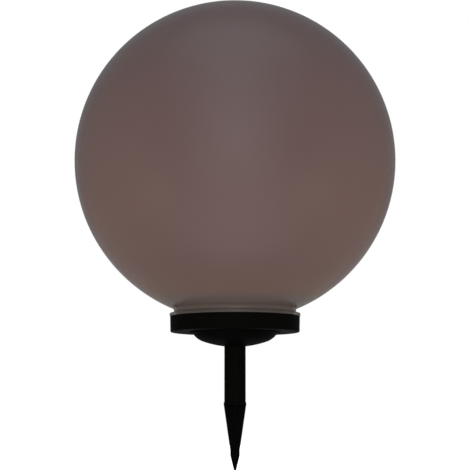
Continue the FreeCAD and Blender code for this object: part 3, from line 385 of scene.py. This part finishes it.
@cache
def drawn_lines():
    """Fine lines along one direction, as on drawn wire, pressed sheet or an extruded tube."""
    group = ShaderGroup(
        "drawn_lines",
        (
            ("Vector", "Stretch", (1.0, 1.0, 0.02)),
            ("Float", "Scale", 1500.0),
            ("Float", "Low", 0.2),
            ("Float", "High", 0.4),
        ),
        (("Float", "Height"), ("Float", "Roughness")),
    )
    given = group.given
    squeeze = {"operation": "MULTIPLY"}
    place = group.add("ShaderNodeVectorMath", squeeze, _0=given["Vector"], _1=given["Stretch"])[0]
    lines = group.noise(place, given["Scale"], 2.0)
    group.feed(group.out["Height"], lines)
    group.feed(group.out["Roughness"], group.scaled(lines, (0.0, 1.0), (given["Low"], given["High"])))
    return group


def dress(finish, *names):
    """Gives CAD nodes a material in all their slots."""
    for name in names:
        mesh = NODES[name].data
        if not mesh.materials:
            mesh.materials.append(finish.material)
        for i in range(len(mesh.materials)):
            mesh.materials[i] = finish.material


def moulded(name, tint, low, high, grain=900.0, depth=0.02 * MM, strength=0.5, shine=0.015):
    """Moulded plastic with a fine grain, its roughness between low and high."""
    finish = Finish(name, Base_Color=tint, Specular_IOR_Level=shine)
    surface = finish.group(moulded_grain(), Grain=grain, Low=low, High=high)
    finish.wear(Roughness=surface["Roughness"])
    finish.bump(surface["Height"], depth, strength)
    return finish


def drawn(name, tint, stretch, low, high, scale, **values):
    """A drawn surface with fine lines, its roughness between low and high."""
    finish = Finish(name, Base_Color=tint, **values)
    lines = finish.group(drawn_lines(), Stretch=stretch, Scale=scale, Low=low, High=high)
    finish.wear(Roughness=lines["Roughness"])
    finish.bump(lines["Height"], 0.01 * MM, 0.4)
    return finish


def metal(name, tint, stretch, low=0.2, high=0.4, scale=1500.0):
    """Drawn or pressed metal."""
    return drawn(name, tint, stretch, low, high, scale, Metallic=1.0)


# ---- Geometry Nodes ----
class Tree(Nodes):
    """A Geometry Nodes tree with named inputs."""

    def __init__(self, name, *inputs):
        super().__init__(bpy.data.node_groups.new(name, "GeometryNodeTree"))
        self.sockets = {}
        face = self.tree.interface
        face.new_socket("Geometry", in_out="INPUT", socket_type="NodeSocketGeometry")
        for kind, label in inputs:
            self.sockets[label] = face.new_socket(label, in_out="INPUT", socket_type="NodeSocket" + kind)
        face.new_socket("Geometry", in_out="OUTPUT", socket_type="NodeSocketGeometry")
        self.given = self.add("NodeGroupInput")
        self.out = self.tree.nodes.new("NodeGroupOutput").inputs["Geometry"]

    def finish(self, geometry):
        """Realised, shaded smooth with its sharp edges kept, and given its material."""
        real = self.add("GeometryNodeRealizeInstances", Geometry=geometry)[0]
        bend = self.add("GeometryNodeInputMeshEdgeAngle")["Unsigned Angle"]
        compare = {"data_type": "FLOAT", "operation": "LESS_THAN"}
        smooth = self.add("FunctionNodeCompare", compare, _0=bend, _1=SMOOTH_ANGLE)[0]
        edges = {"domain": "EDGE"}
        shaded = self.add("GeometryNodeSetShadeSmooth", edges, Geometry=real, Shade_Smooth=smooth)[0]
        painted = self.add("GeometryNodeSetMaterial", Geometry=shaded, Material=self.given["Material"])[0]
        self.feed(self.out, painted)
        return self


@cache
def lathe_tree():
    """Turns a chain of points, given as radius along X and height along Z, about Z."""
    t = Tree("lathe", ("Int", "Segments"), ("Material", "Material"))
    profile = t.given["Geometry"]
    count = t.add("GeometryNodeAttributeDomainSize", Geometry=profile)["Point Count"]
    across = t.calc("ADD", t.given["Segments"], 1.0)
    size = {"Size_X": 1.0, "Size_Y": 1.0, "Vertices_X": across, "Vertices_Y": count}
    grid = t.add("GeometryNodeMeshGrid", **size)["Mesh"]
    place = t.add("GeometryNodeInputPosition")[0]
    split = t.add("ShaderNodeSeparateXYZ", Vector=place)
    turn = t.calc("MULTIPLY", t.calc("ADD", split["X"], 0.5), math.tau)
    row = t.calc("MULTIPLY", t.calc("ADD", split["Y"], 0.5), t.calc("SUBTRACT", count, 1.0))
    row = t.calc("ROUND", row)
    vectors = {"data_type": "FLOAT_VECTOR"}
    at = t.add("GeometryNodeSampleIndex", vectors, Geometry=profile, Value=place, Index=row)[0]
    point = t.add("ShaderNodeSeparateXYZ", Vector=at)
    x = t.calc("MULTIPLY", point["X"], t.calc("COSINE", turn))
    y = t.calc("MULTIPLY", point["X"], t.calc("SINE", turn))
    spot = t.add("ShaderNodeCombineXYZ", X=x, Y=y, Z=point["Z"])[0]
    moved = t.add("GeometryNodeSetPosition", Geometry=grid, Position=spot)[0]
    closed = t.add("GeometryNodeMergeByDistance", Geometry=moved, Distance=SAME_POINT)[0]
    return t.finish(t.add("GeometryNodeFlipFaces", Mesh=closed)[0])


@cache
def lugs_tree():
    """Adds blocks that are bent round the axis, evenly spaced, to what comes in."""
    sizes = [("Float", n) for n in ("Inner", "Outer", "Low", "High", "Width", "First")]
    t = Tree("bent_lugs", ("Int", "Count"), *sizes, ("Material", "Material"))
    given = t.given
    size = {"Size": (1.0, 1.0, 1.0), "Vertices_X": LUG_FLATS + 1, "Vertices_Y": 2, "Vertices_Z": 2}
    block = t.add("GeometryNodeMeshCube", **size)["Mesh"]
    split = t.add("ShaderNodeSeparateXYZ", Vector=t.add("GeometryNodeInputPosition")[0])
    turn = t.calc("MULTIPLY", split["X"], given["Width"])
    depth = t.calc("SUBTRACT", given["Outer"], given["Inner"])
    radius = t.calc("ADD", given["Inner"], t.calc("MULTIPLY", t.calc("ADD", split["Y"], 0.5), depth))
    rise = t.calc("SUBTRACT", given["High"], given["Low"])
    height = t.calc("ADD", given["Low"], t.calc("MULTIPLY", t.calc("ADD", split["Z"], 0.5), rise))
    x = t.calc("MULTIPLY", radius, t.calc("COSINE", turn))
    y = t.calc("MULTIPLY", t.calc("MULTIPLY", radius, t.calc("SINE", turn)), -1.0)
    spot = t.add("ShaderNodeCombineXYZ", X=x, Y=y, Z=height)[0]
    bent = t.add("GeometryNodeSetPosition", Geometry=block, Position=spot)[0]
    steps = {"mode": "OFFSET"}
    seats = t.add("GeometryNodeMeshLine", steps, Count=given["Count"], Offset=(0.0, 0.0, 0.0))[0]
    index = t.add("GeometryNodeInputIndex")[0]
    step = t.calc("DIVIDE", math.tau, given["Count"])
    way = t.add("ShaderNodeCombineXYZ", Z=t.calc("ADD", given["First"], t.calc("MULTIPLY", index, step)))[0]
    spin = t.add("FunctionNodeEulerToRotation", Euler=way)[0]
    lugs = t.add("GeometryNodeInstanceOnPoints", Points=seats, Instance=bent, Rotation=spin)[0]
    both = t.add("GeometryNodeJoinGeometry")[0]
    for part in (lugs, given["Geometry"]):
        t.feed(both.node.inputs[0], part)
    return t.finish(both)


@cache
def scatter_tree():
    """Sets a piece on each point that comes in."""
    t = Tree("scattered", ("Object", "Piece"), ("Material", "Material"))
    piece = t.add("GeometryNodeObjectInfo", Object=t.given["Piece"])["Geometry"]
    points = t.given["Geometry"]
    return t.finish(t.add("GeometryNodeInstanceOnPoints", Points=points, Instance=piece)["Instances"])


def grow(obj, tree, **values):
    """Adds a tree to an object as a modifier, with its inputs set by name."""
    modifier = obj.modifiers.new(tree.tree.name, "NODES")
    modifier.node_group = tree.tree
    for label, value in values.items():
        modifier[tree.sockets[label.replace("_", " ")].identifier] = value
    return obj


def settled(obj):
    """The object with its modifiers turned into a plain mesh."""
    bpy.context.view_layer.update()
    deps = bpy.context.evaluated_depsgraph_get()
    mesh = bpy.data.meshes.new_from_object(obj.evaluated_get(deps))
    obj.modifiers.clear()
    old, obj.data = obj.data, mesh
    bpy.data.meshes.remove(old)
    return obj


def added(name, data):
    """A new object in the scene."""
    obj = bpy.data.objects.new(name, data)
    bpy.context.scene.collection.objects.link(obj)
    return obj


def points_object(name, points, chained=False):
    """An object of points, each joined to the next if they are chained."""
    mesh = bpy.data.meshes.new(name)
    edges = [(i, i + 1) for i in range(len(points) - 1)] if chained else []
    mesh.from_pydata([tuple(p) for p in points], edges, [])
    return added(name, mesh)


def turned_copies(name, profile, points, finish, body):
    """Small turned pieces, all alike, on points of one body. The profile is (radius, height) in mm, down
    the outside of the piece."""
    chain = [(r * MM, 0.0, z * MM) for r, z in profile]
    piece = points_object(f"{name}_one", chain, chained=True)
    settled(grow(piece, lathe_tree(), Segments=SMALL_FLATS, Material=finish.material))
    copies = points_object(name, points)
    settled(grow(copies, scatter_tree(), Piece=piece, Material=finish.material))
    spare = piece.data
    bpy.data.objects.remove(piece)
    bpy.data.meshes.remove(spare)
    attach(copies, body)


def lead_ends(nodes, pick):
    """The middles of the cut ends of leads, at the lowest level of each node if pick is min, or at the
    highest if it is max."""
    middles = []
    for node in nodes:
        spots = [v.co for v in NODES[node].data.vertices]
        level = pick(p.z for p in spots)
        ends = []
        for p in (p for p in spots if abs(p.z - level) <= END_LEVEL):
            near = next((end for end in ends if (end[0] - p).length < END_WIDTH), None)
            if near is None:
                ends.append([p])
            else:
                near.append(p)
        for end in ends:
            middles.append([(min(p[i] for p in end) + max(p[i] for p in end)) / 2 for i in range(3)])
    return middles


def arc(centre, radius, start, end, count):
    """Points along an arc in the XZ plane, its angles in degrees from +X."""
    points = []
    for i in range(count + 1):
        a = math.radians(start + (end - start) * i / count)
        points.append((centre[0] + radius * math.cos(a), 0.0, centre[1] + radius * math.sin(a)))
    return points


# ---- Operators ----
class GLOBELIGHT_OT_globe(Operator):
    """Turn the smoked globe with its neck, flange and lugs."""

    bl_idname = "globelight.globe"
    bl_label = "Globe"

    def execute(self, context):
        s, look = context.scene.globe_light_sizes, context.scene.globe_light_finish
        smoke = self.smoke(s, look)
        globe = points_object("globe", self.profile(s), chained=True)
        grow(globe, lathe_tree(), Segments=GLOBE_FLATS, Material=smoke.material)
        grow(
            globe,
            lugs_tree(),
            Count=3,
            Inner=s.neck_r - s.neck_wall / 3,
            Outer=s.neck_r + s.lug_reach,
            Low=s.lug_top - s.lug_t,
            High=s.lug_top,
            Width=s.lug_width,
            First=s.lug_first,
            Material=smoke.material,
        )
        settled(globe)
        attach(globe, "globe")
        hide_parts("globe_shell")
        return {"FINISHED"}

    def smoke(self, s, look):
        """Smoked plastic that is nearly opaque, and clear where it is seen from behind. Its colour changes
        by height with painted shade and painted light.
        """
        finish = Finish("smoked_plastic", Base_Color=look.smoke, Specular_IOR_Level=0.35)
        facing = finish.add("ShaderNodeLayerWeight")["Facing"]
        front = finish.soft(facing, RIM_TURN, (look.smoke_cover, 1.0))
        behind = finish.add("ShaderNodeNewGeometry")["Backfacing"]
        foot = s.flange_low + s.flange_t
        up = finish.scaled(finish.split()["Z"], (foot, foot + s.smoke_rise))
        # The colour by height is painted: shade at the flange, light at the crease, the tray's shade with a
        # sheen in front of the tray, and warm light low on the ball.
        shade_and_light_tones = (look.smoke_flange_shade, look.smoke_crease_light, look.smoke_tray_shade_and_sheen, look.smoke_low_warm_light, look.smoke)
        tone = finish.ramp(up, tuple(zip(SHADE_AND_LIGHT_STOPS, shade_and_light_tones)), "EASE")
        drift = finish.group(soft_mottle(), Scale=3.0, First=(0.95, 0.95, 0.95), Second=WHITE)
        grain = finish.group(moulded_grain(), Grain=40.0, Low=0.15, High=0.18)
        finish.wear(
            Base_Color=finish.mixed(1.0, tone, drift["Color"], "MULTIPLY"),
            Roughness=grain["Roughness"],
            Alpha=finish.scaled(behind, (0.0, 1.0), (front, 0.0)),
        )
        return finish

    def profile(self, s):
        """Down the outside from the crown to the neck's foot, and up the inside."""
        centre = GLOBE_HIGH.z - s.globe_r
        top, low = s.flange_low + s.flange_t, s.flange_low
        blend_r = s.neck_r + s.neck_blend
        blend_z = centre - math.sqrt((s.globe_r + s.neck_blend) ** 2 - blend_r**2)
        meet = math.degrees(math.atan2(blend_z - centre, blend_r))
        points = arc((0.0, centre), s.globe_r, 90.0, meet, OUTSIDE_STEPS)
        points += arc((blend_r, blend_z), s.neck_blend, meet + 180.0, 180.0, ROUNDING_STEPS)[1:]
        edge = s.flange_r - s.flange_round
        points += [(s.neck_r, 0.0, top)]
        points += arc((edge, top - s.flange_round), s.flange_round, 90.0, 0.0, ROUNDING_STEPS)
        points += arc((edge, low + s.flange_round), s.flange_round, 0.0, -90.0, ROUNDING_STEPS)
        inner_r, neck_in = s.globe_r - s.globe_wall, s.neck_r - s.neck_wall
        points += [(s.neck_r, 0.0, low), (s.neck_r, 0.0, GLOBE_LOW.z), (neck_in, 0.0, GLOBE_LOW.z)]
        mouth = -math.degrees(math.acos(neck_in / inner_r))
        points += arc((0.0, centre), inner_r, mouth, 90.0, INSIDE_STEPS)
        return points


class GLOBELIGHT_OT_base(Operator):
    """Finish the black collar, cover, door and tray, the seals, the button and the switch."""

    bl_idname = "globelight.base"
    bl_label = "Base"

    def execute(self, context):
        look = context.scene.globe_light_finish
        dress(moulded("black_collar", look.black, 0.42, 0.5), "collar_ring")
        dress(moulded("black_cover", look.black, 0.45, 0.55), "lower_cover", "battery_door")
        dress(moulded("black_tray", look.black, 0.5, 0.6, grain=600.0), "panel_tray")
        rubber = moulded("seal_rubber", look.rubber, 0.65, 0.8, grain=1500.0, depth=0.01 * MM, shine=0.08)
        dress(rubber, "globe_gasket", "cover_seal", "button_seal")
        button = moulded("button_rubber", BUTTON_GREY, 0.55, 0.65, grain=1200.0)
        dress(button, "power_button")
        low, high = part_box("power_button")
        face = ((low.x + high.x) / 2, (low.y + high.y) / 2, low.z)
        for name, radius in RIDGES.items():
            ridge = [(radius + out, z) for out, z in RIDGE]
            turned_copies(f"button_ridge_{name}", ridge, [face], button, "button")
        dress(moulded("switch_grey", SWITCH_GREY, 0.4, 0.5, shine=0.5), "switch_body")
        return {"FINISHED"}


class GLOBELIGHT_OT_stem_spike(Operator):
    """Finish the stem and the ground spike."""

    bl_idname = "globelight.stem_spike"
    bl_label = "Stem and spike"

    def execute(self, context):
        look = context.scene.globe_light_finish
        stretch = (1.0, 1.0, 0.01)
        tube = drawn("black_tube", look.black, stretch, 0.42, 0.52, 700.0, Specular_IOR_Level=0.015)
        dress(tube, "stem_tube")
        spike = moulded("black_spike", look.black, 0.45, 0.58, grain=500.0, depth=0.03 * MM)
        dress(spike, "ground_spike")
        return {"FINISHED"}


class GLOBELIGHT_OT_panel(Operator):
    """Finish the solar panel's board, cells, ribbons and resin."""

    bl_idname = "globelight.panel"
    bl_label = "Solar panel"

    def execute(self, context):
        dress(self.silicon(context.scene.globe_light_finish.finger_pitch), "solar_cells")
        dress(metal("tinned_ribbon", (0.75, 0.75, 0.72), (1.0, 0.02, 1.0)), "cell_ribbons")
        resin = Finish("clear_resin", Base_Color=(0.4, 0.44, 0.5), Roughness=0.12, Alpha=0.1)
        waves = resin.group(soft_mottle(), Scale=60.0)
        resin.bump(waves["Mask"], 0.1 * MM, 0.15)
        dress(resin, "panel_resin")
        dress(moulded("panel_board", (0.35, 0.36, 0.35), 0.4, 0.5, shine=0.5), "solar_panel_board")
        return {"FINISHED"}

    def silicon(self, pitch):
        """Blue crystals with silver lines printed across them."""
        finish = Finish("silicon_cell", Specular_IOR_Level=0.5, Roughness=0.25)
        crystals = finish.add("ShaderNodeTexVoronoi", {"feature": "F1"}, Scale=180.0, Vector=finish.place)
        along = finish.calc("FRACT", finish.calc("MULTIPLY", finish.split()["Y"], 1.0 / pitch))
        line = finish.calc("LESS_THAN", along, PRINT_SHARE)
        finish.wear(Base_Color=finish.mixed(line, finish.ramp(crystals["Color"], SILICON), SILVER_PRINT))
        return finish


class GLOBELIGHT_OT_electronics(Operator):
    """Finish the boards, lamps, leads and battery."""

    bl_idname = "globelight.electronics"
    bl_label = "Electronics"

    def execute(self, context):
        dress(self.board("control_green", (0.01, 0.06, 0.02), (0.02, 0.1, 0.035)), "control_board")
        dress(self.board("lamp_white", (0.55, 0.56, 0.54), (0.65, 0.66, 0.63)), "led_boards")
        dress(self.components(), "board_components")
        lens = Finish("lamp_lens", Base_Color=(0.9, 0.88, 0.78), Roughness=0.08, Alpha=0.3)
        haze = lens.group(soft_mottle(), Scale=300.0)
        lens.bump(haze["Mask"], 0.02 * MM, 0.1)
        dress(lens, "led_lamps")
        dress(self.lead("red_lead", (0.35, 0.01, 0.01)), *RED_LEADS)
        dress(self.lead("black_lead", (0.012, 0.012, 0.012)), *BLACK_LEADS)
        dress(self.sleeve(), "battery_cell")
        self.lamp_cores()
        self.solder()
        contact = metal("nickel_contact", (0.7, 0.68, 0.62), (0.05, 1.0, 1.0), 0.15, 0.3)
        dress(contact, "battery_plate_contact", "battery_spring_contact")
        return {"FINISHED"}

    def board(self, name, first, second):
        """Mottled solder resist."""
        finish = Finish(name, Roughness=0.35)
        drift = finish.group(soft_mottle(), Scale=90.0, First=first, Second=second)
        finish.wear(Base_Color=drift["Color"])
        finish.bump(drift["Mask"], 0.02 * MM, 0.3)
        return finish

    def components(self):
        """Pale lead sockets at the front of the board, a black chip, and a copper choke beside the blue
        capacitor."""
        finish = moulded("component_mix", (0.015, 0.015, 0.015), 0.35, 0.5, grain=2500.0, shine=0.5)
        low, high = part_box("board_components")
        split = finish.split()
        rows = finish.ramp(finish.scaled(split["Y"], (low.y, high.y)), COMPONENTS, "CONSTANT")
        right = finish.calc("GREATER_THAN", split["X"], 0.0)
        back = finish.calc("GREATER_THAN", split["Y"], CAPACITOR_FRONT)
        finish.wear(Base_Color=finish.mixed(finish.calc("MULTIPLY", right, back), rows, CAPACITOR_BLUE))
        return finish

    def lead(self, name, tint):
        """A wire's insulation."""
        return moulded(name, tint, 0.35, 0.5, grain=2000.0, depth=0.01 * MM, strength=0.3, shine=0.5)

    def sleeve(self):
        """The cell's film sleeve, in bands along it."""
        finish = Finish("battery_sleeve", Roughness=0.25, Coat_Weight=0.4)
        low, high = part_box("battery_cell")
        along = finish.scaled(finish.split()["X"], (low.x, high.x))
        finish.wear(Base_Color=finish.ramp(along, SLEEVE, "CONSTANT"))
        return finish

    def lamp_cores(self):
        """A silvered cup with its yellow filling, and the second lead, in each lamp."""
        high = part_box("led_lamps")[1]
        cup_z = high.z - CUP_DOWN
        cups, posts = [], []
        for quarter in range(4):
            out, across = (self.direction(q * math.pi / 2) for q in (quarter, quarter + 1))
            seat = out * (high.x - LAMP_RIM)
            cups.append((*seat.xy, cup_z))
            posts.append((*(seat + across * POST_ASIDE).xy, cup_z))
        silver = metal("lamp_silver", (0.85, 0.85, 0.84), (1.0, 1.0, 0.3), 0.15, 0.3)
        turned_copies("lamp_cups", CUP, cups, silver, "base")
        turned_copies("lamp_posts", POST, posts, silver, "base")
        filling = Finish("lamp_phosphor", Roughness=0.6)
        yellows = {"First": (0.75, 0.6, 0.05), "Second": (0.85, 0.72, 0.12)}
        filling.wear(Base_Color=filling.group(soft_mottle(), Scale=2500.0, **yellows)["Color"])
        turned_copies("lamp_phosphor", FILLING, cups, filling, "base")

    def direction(self, turn):
        """Level, and turned from +X by an angle."""
        return Vector((math.cos(turn), math.sin(turn), 0.0))

    def solder(self):
        """A cone of solder round each lead where it meets a board."""
        tin = metal("solder", (0.7, 0.7, 0.71), (1.0, 1.0, 1.0), 0.2, 0.35, 700.0)
        hung = tuple((r, -z) for r, z in reversed(CONE))
        turned_copies("solder_above", CONE, lead_ends(ON_PANEL, min), tin, "base")
        turned_copies("solder_below", hung, lead_ends(UNDER_BOARD, max), tin, "base")


class GLOBELIGHT_OT_screws(Operator):
    """Finish the screws."""

    bl_idname = "globelight.screws"
    bl_label = "Screws"

    def execute(self, context):
        zinc = metal("zinc_screw", (0.62, 0.62, 0.6), (1.0, 1.0, 0.2), 0.25, 0.45, 900.0)
        dress(zinc, "housing_screws", "door_screws", "board_screws")
        return {"FINISHED"}


class GLOBELIGHT_OT_stage(Operator):
    """Set up the floor, the lights and the camera."""

    bl_idname = "globelight.stage"
    bl_label = "Stage"

    def execute(self, context):
        scene, s = context.scene, context.scene.globe_light_stage
        scene.view_settings.view_transform = "Standard"
        self.surroundings(scene, s)
        self.floor()
        for name, values in LAMPS.items():
            self.lamp(name, *values)
        camera = added("camera", bpy.data.cameras.new("camera"))
        camera.data.lens = s.camera_lens
        camera.location = (0.0, -s.camera_back, s.camera_z)
        camera.rotation_euler = (math.radians(90.0) + s.camera_up, 0.0, 0.0)
        scene.camera = camera
        return {"FINISHED"}

    def lamp(self, name, place, size, power, tint):
        """A soft lamp that shines at the globe and isn't seen in reflections."""
        data = bpy.data.lights.new(name, "AREA")
        data.shape = "RECTANGLE"
        data.size, data.size_y = size
        data.energy = power
        data.color = tint
        lamp = added(name, data)
        lamp.location = place
        lamp.rotation_euler = (LAMP_AIM - Vector(place)).to_track_quat("-Z", "Y").to_euler()
        lamp.visible_glossy = False

    def surroundings(self, scene, look):
        """White where the camera looks, an even grey where light comes from, and both in reflections."""
        world = bpy.data.worlds.new("surroundings")
        world.use_nodes = True
        scene.world = world
        n = Nodes(world.node_tree)
        rays = n.add("ShaderNodeLightPath")
        way, ahead = self.band(n, "Generated", (0.0, 0.0, 0.0), BAND_DEPTH, BAND_WHITE)
        behind = n.soft(way["Y"], BACKDROP_EDGE, (look.around_mirrored, 1.0))
        mirrored = n.calc("MAXIMUM", behind, ahead)
        mirror = rays["Is Glossy Ray"]
        other = n.add("ShaderNodeMix", Factor=mirror, A=look.around, B=mirrored)["Result"]
        shown = next(node for node in n.tree.nodes if node.type == "BACKGROUND").inputs
        n.feed(shown["Strength"], n.calc("MAXIMUM", self.seen(n, rays), other))
        n.feed(shown["Color"], n.mixed(mirror, WHITE, MIRRORED_TINT))

    def seen(self, n, rays):
        """1 for what the camera sees, straight or through something clear, and else 0."""
        return n.calc("MAXIMUM", rays["Is Camera Ray"], rays["Is Transmission Ray"])

    def band(self, n, source, origin, depth, ends):
        """The parts of a direction from the origin, and a soft band across it that fades to the back."""
        place = n.add("ShaderNodeTexCoord")[source]
        way = n.add("ShaderNodeVectorMath", {"operation": "SUBTRACT"}, _0=place, _1=origin)[0]
        unit = n.add("ShaderNodeVectorMath", {"operation": "NORMALIZE"}, _0=way)[0]
        split = n.add("ShaderNodeSeparateXYZ", _0=unit)
        middle = n.soft(n.calc("ABSOLUTE", split["X"]), BAND_EDGE, (1.0, 0.0))
        return split, n.calc("MULTIPLY", middle, n.soft(split["Y"], depth, ends))

    def floor(self):
        """A wide white floor that keeps the light's shadow and is clear from below."""
        sides = ((-1, -1), (1, -1), (1, 1), (-1, 1))
        corners = [(FLOOR_REACH * x, FLOOR_REACH * y, FLOOR_Z) for x, y in sides]
        mesh = bpy.data.meshes.new("floor")
        mesh.from_pydata(corners, [], [(0, 1, 2, 3)])
        material = bpy.data.materials.new("white_floor")
        material.use_nodes = True
        n = Nodes(material.node_tree)
        n.tree.nodes.clear()
        rays = n.add("ShaderNodeLightPath")
        lit = self.band(n, "Object", BALL_FRONT, FLOOR_DEPTH, (1.0, 0.0))[1]
        mirror, whole = rays["Is Glossy Ray"], (0.0, 1.0)
        plain = n.soft(self.seen(n, rays), whole, FLOOR_GLOW)
        mirrored = n.soft(lit, whole, FLOOR_MIRRORED)
        strength = n.add("ShaderNodeMix", Factor=mirror, A=plain, B=mirrored)["Result"]
        glow = n.add("ShaderNodeEmission", Strength=strength)[0]
        paint = n.add("ShaderNodeBsdfDiffuse", Color=n.soft(mirror, whole, FLOOR_PAINT))[0]
        above = n.add("ShaderNodeAddShader", _0=paint, _1=glow)[0]
        below = n.add("ShaderNodeBsdfTransparent")[0]
        turned = n.add("ShaderNodeNewGeometry")["Backfacing"]
        both = n.add("ShaderNodeMixShader", Fac=turned, _1=above, _2=below)[0]
        n.add("ShaderNodeOutputMaterial", Surface=both)
        mesh.materials.append(material)
        return added("floor", mesh)


OPERATORS = (
    GLOBELIGHT_OT_stage,
    GLOBELIGHT_OT_globe,
    GLOBELIGHT_OT_base,
    GLOBELIGHT_OT_stem_spike,
    GLOBELIGHT_OT_panel,
    GLOBELIGHT_OT_electronics,
    GLOBELIGHT_OT_screws,
)


class GLOBELIGHT_PT_panel(Panel):
    """Lists the pieces in the 3D view's sidebar."""

    bl_idname = "GLOBELIGHT_PT_panel"
    bl_label = "Globe light"
    bl_space_type = "VIEW_3D"
    bl_region_type = "UI"
    bl_category = "Globe light"

    def draw(self, context):
        for operator in OPERATORS:
            self.layout.operator(operator.bl_idname)


SETTINGS = {
    "globe_light_sizes": GlobeLightSizes,
    "globe_light_finish": GlobeLightFinish,
    "globe_light_stage": GlobeLightStage,
}
CLASSES = (*SETTINGS.values(), *OPERATORS, GLOBELIGHT_PT_panel)


def register():
    """Registers the classes, and their settings on the scene."""
    for item in CLASSES:
        bpy.utils.register_class(item)
    for name, group in SETTINGS.items():
        setattr(bpy.types.Scene, name, PointerProperty(type=group))


def unregister():
    """Takes the settings and the classes away again."""
    for name in SETTINGS:
        delattr(bpy.types.Scene, name)
    for item in reversed(CLASSES):
        bpy.utils.unregister_class(item)


def main():
    """Makes the whole model."""
    register()
    bpy.ops.globelight.stage()
    bpy.ops.globelight.globe()
    bpy.ops.globelight.base()
    bpy.ops.globelight.stem_spike()
    bpy.ops.globelight.panel()
    bpy.ops.globelight.electronics()
    bpy.ops.globelight.screws()


if __name__ == "__main__":
    main()
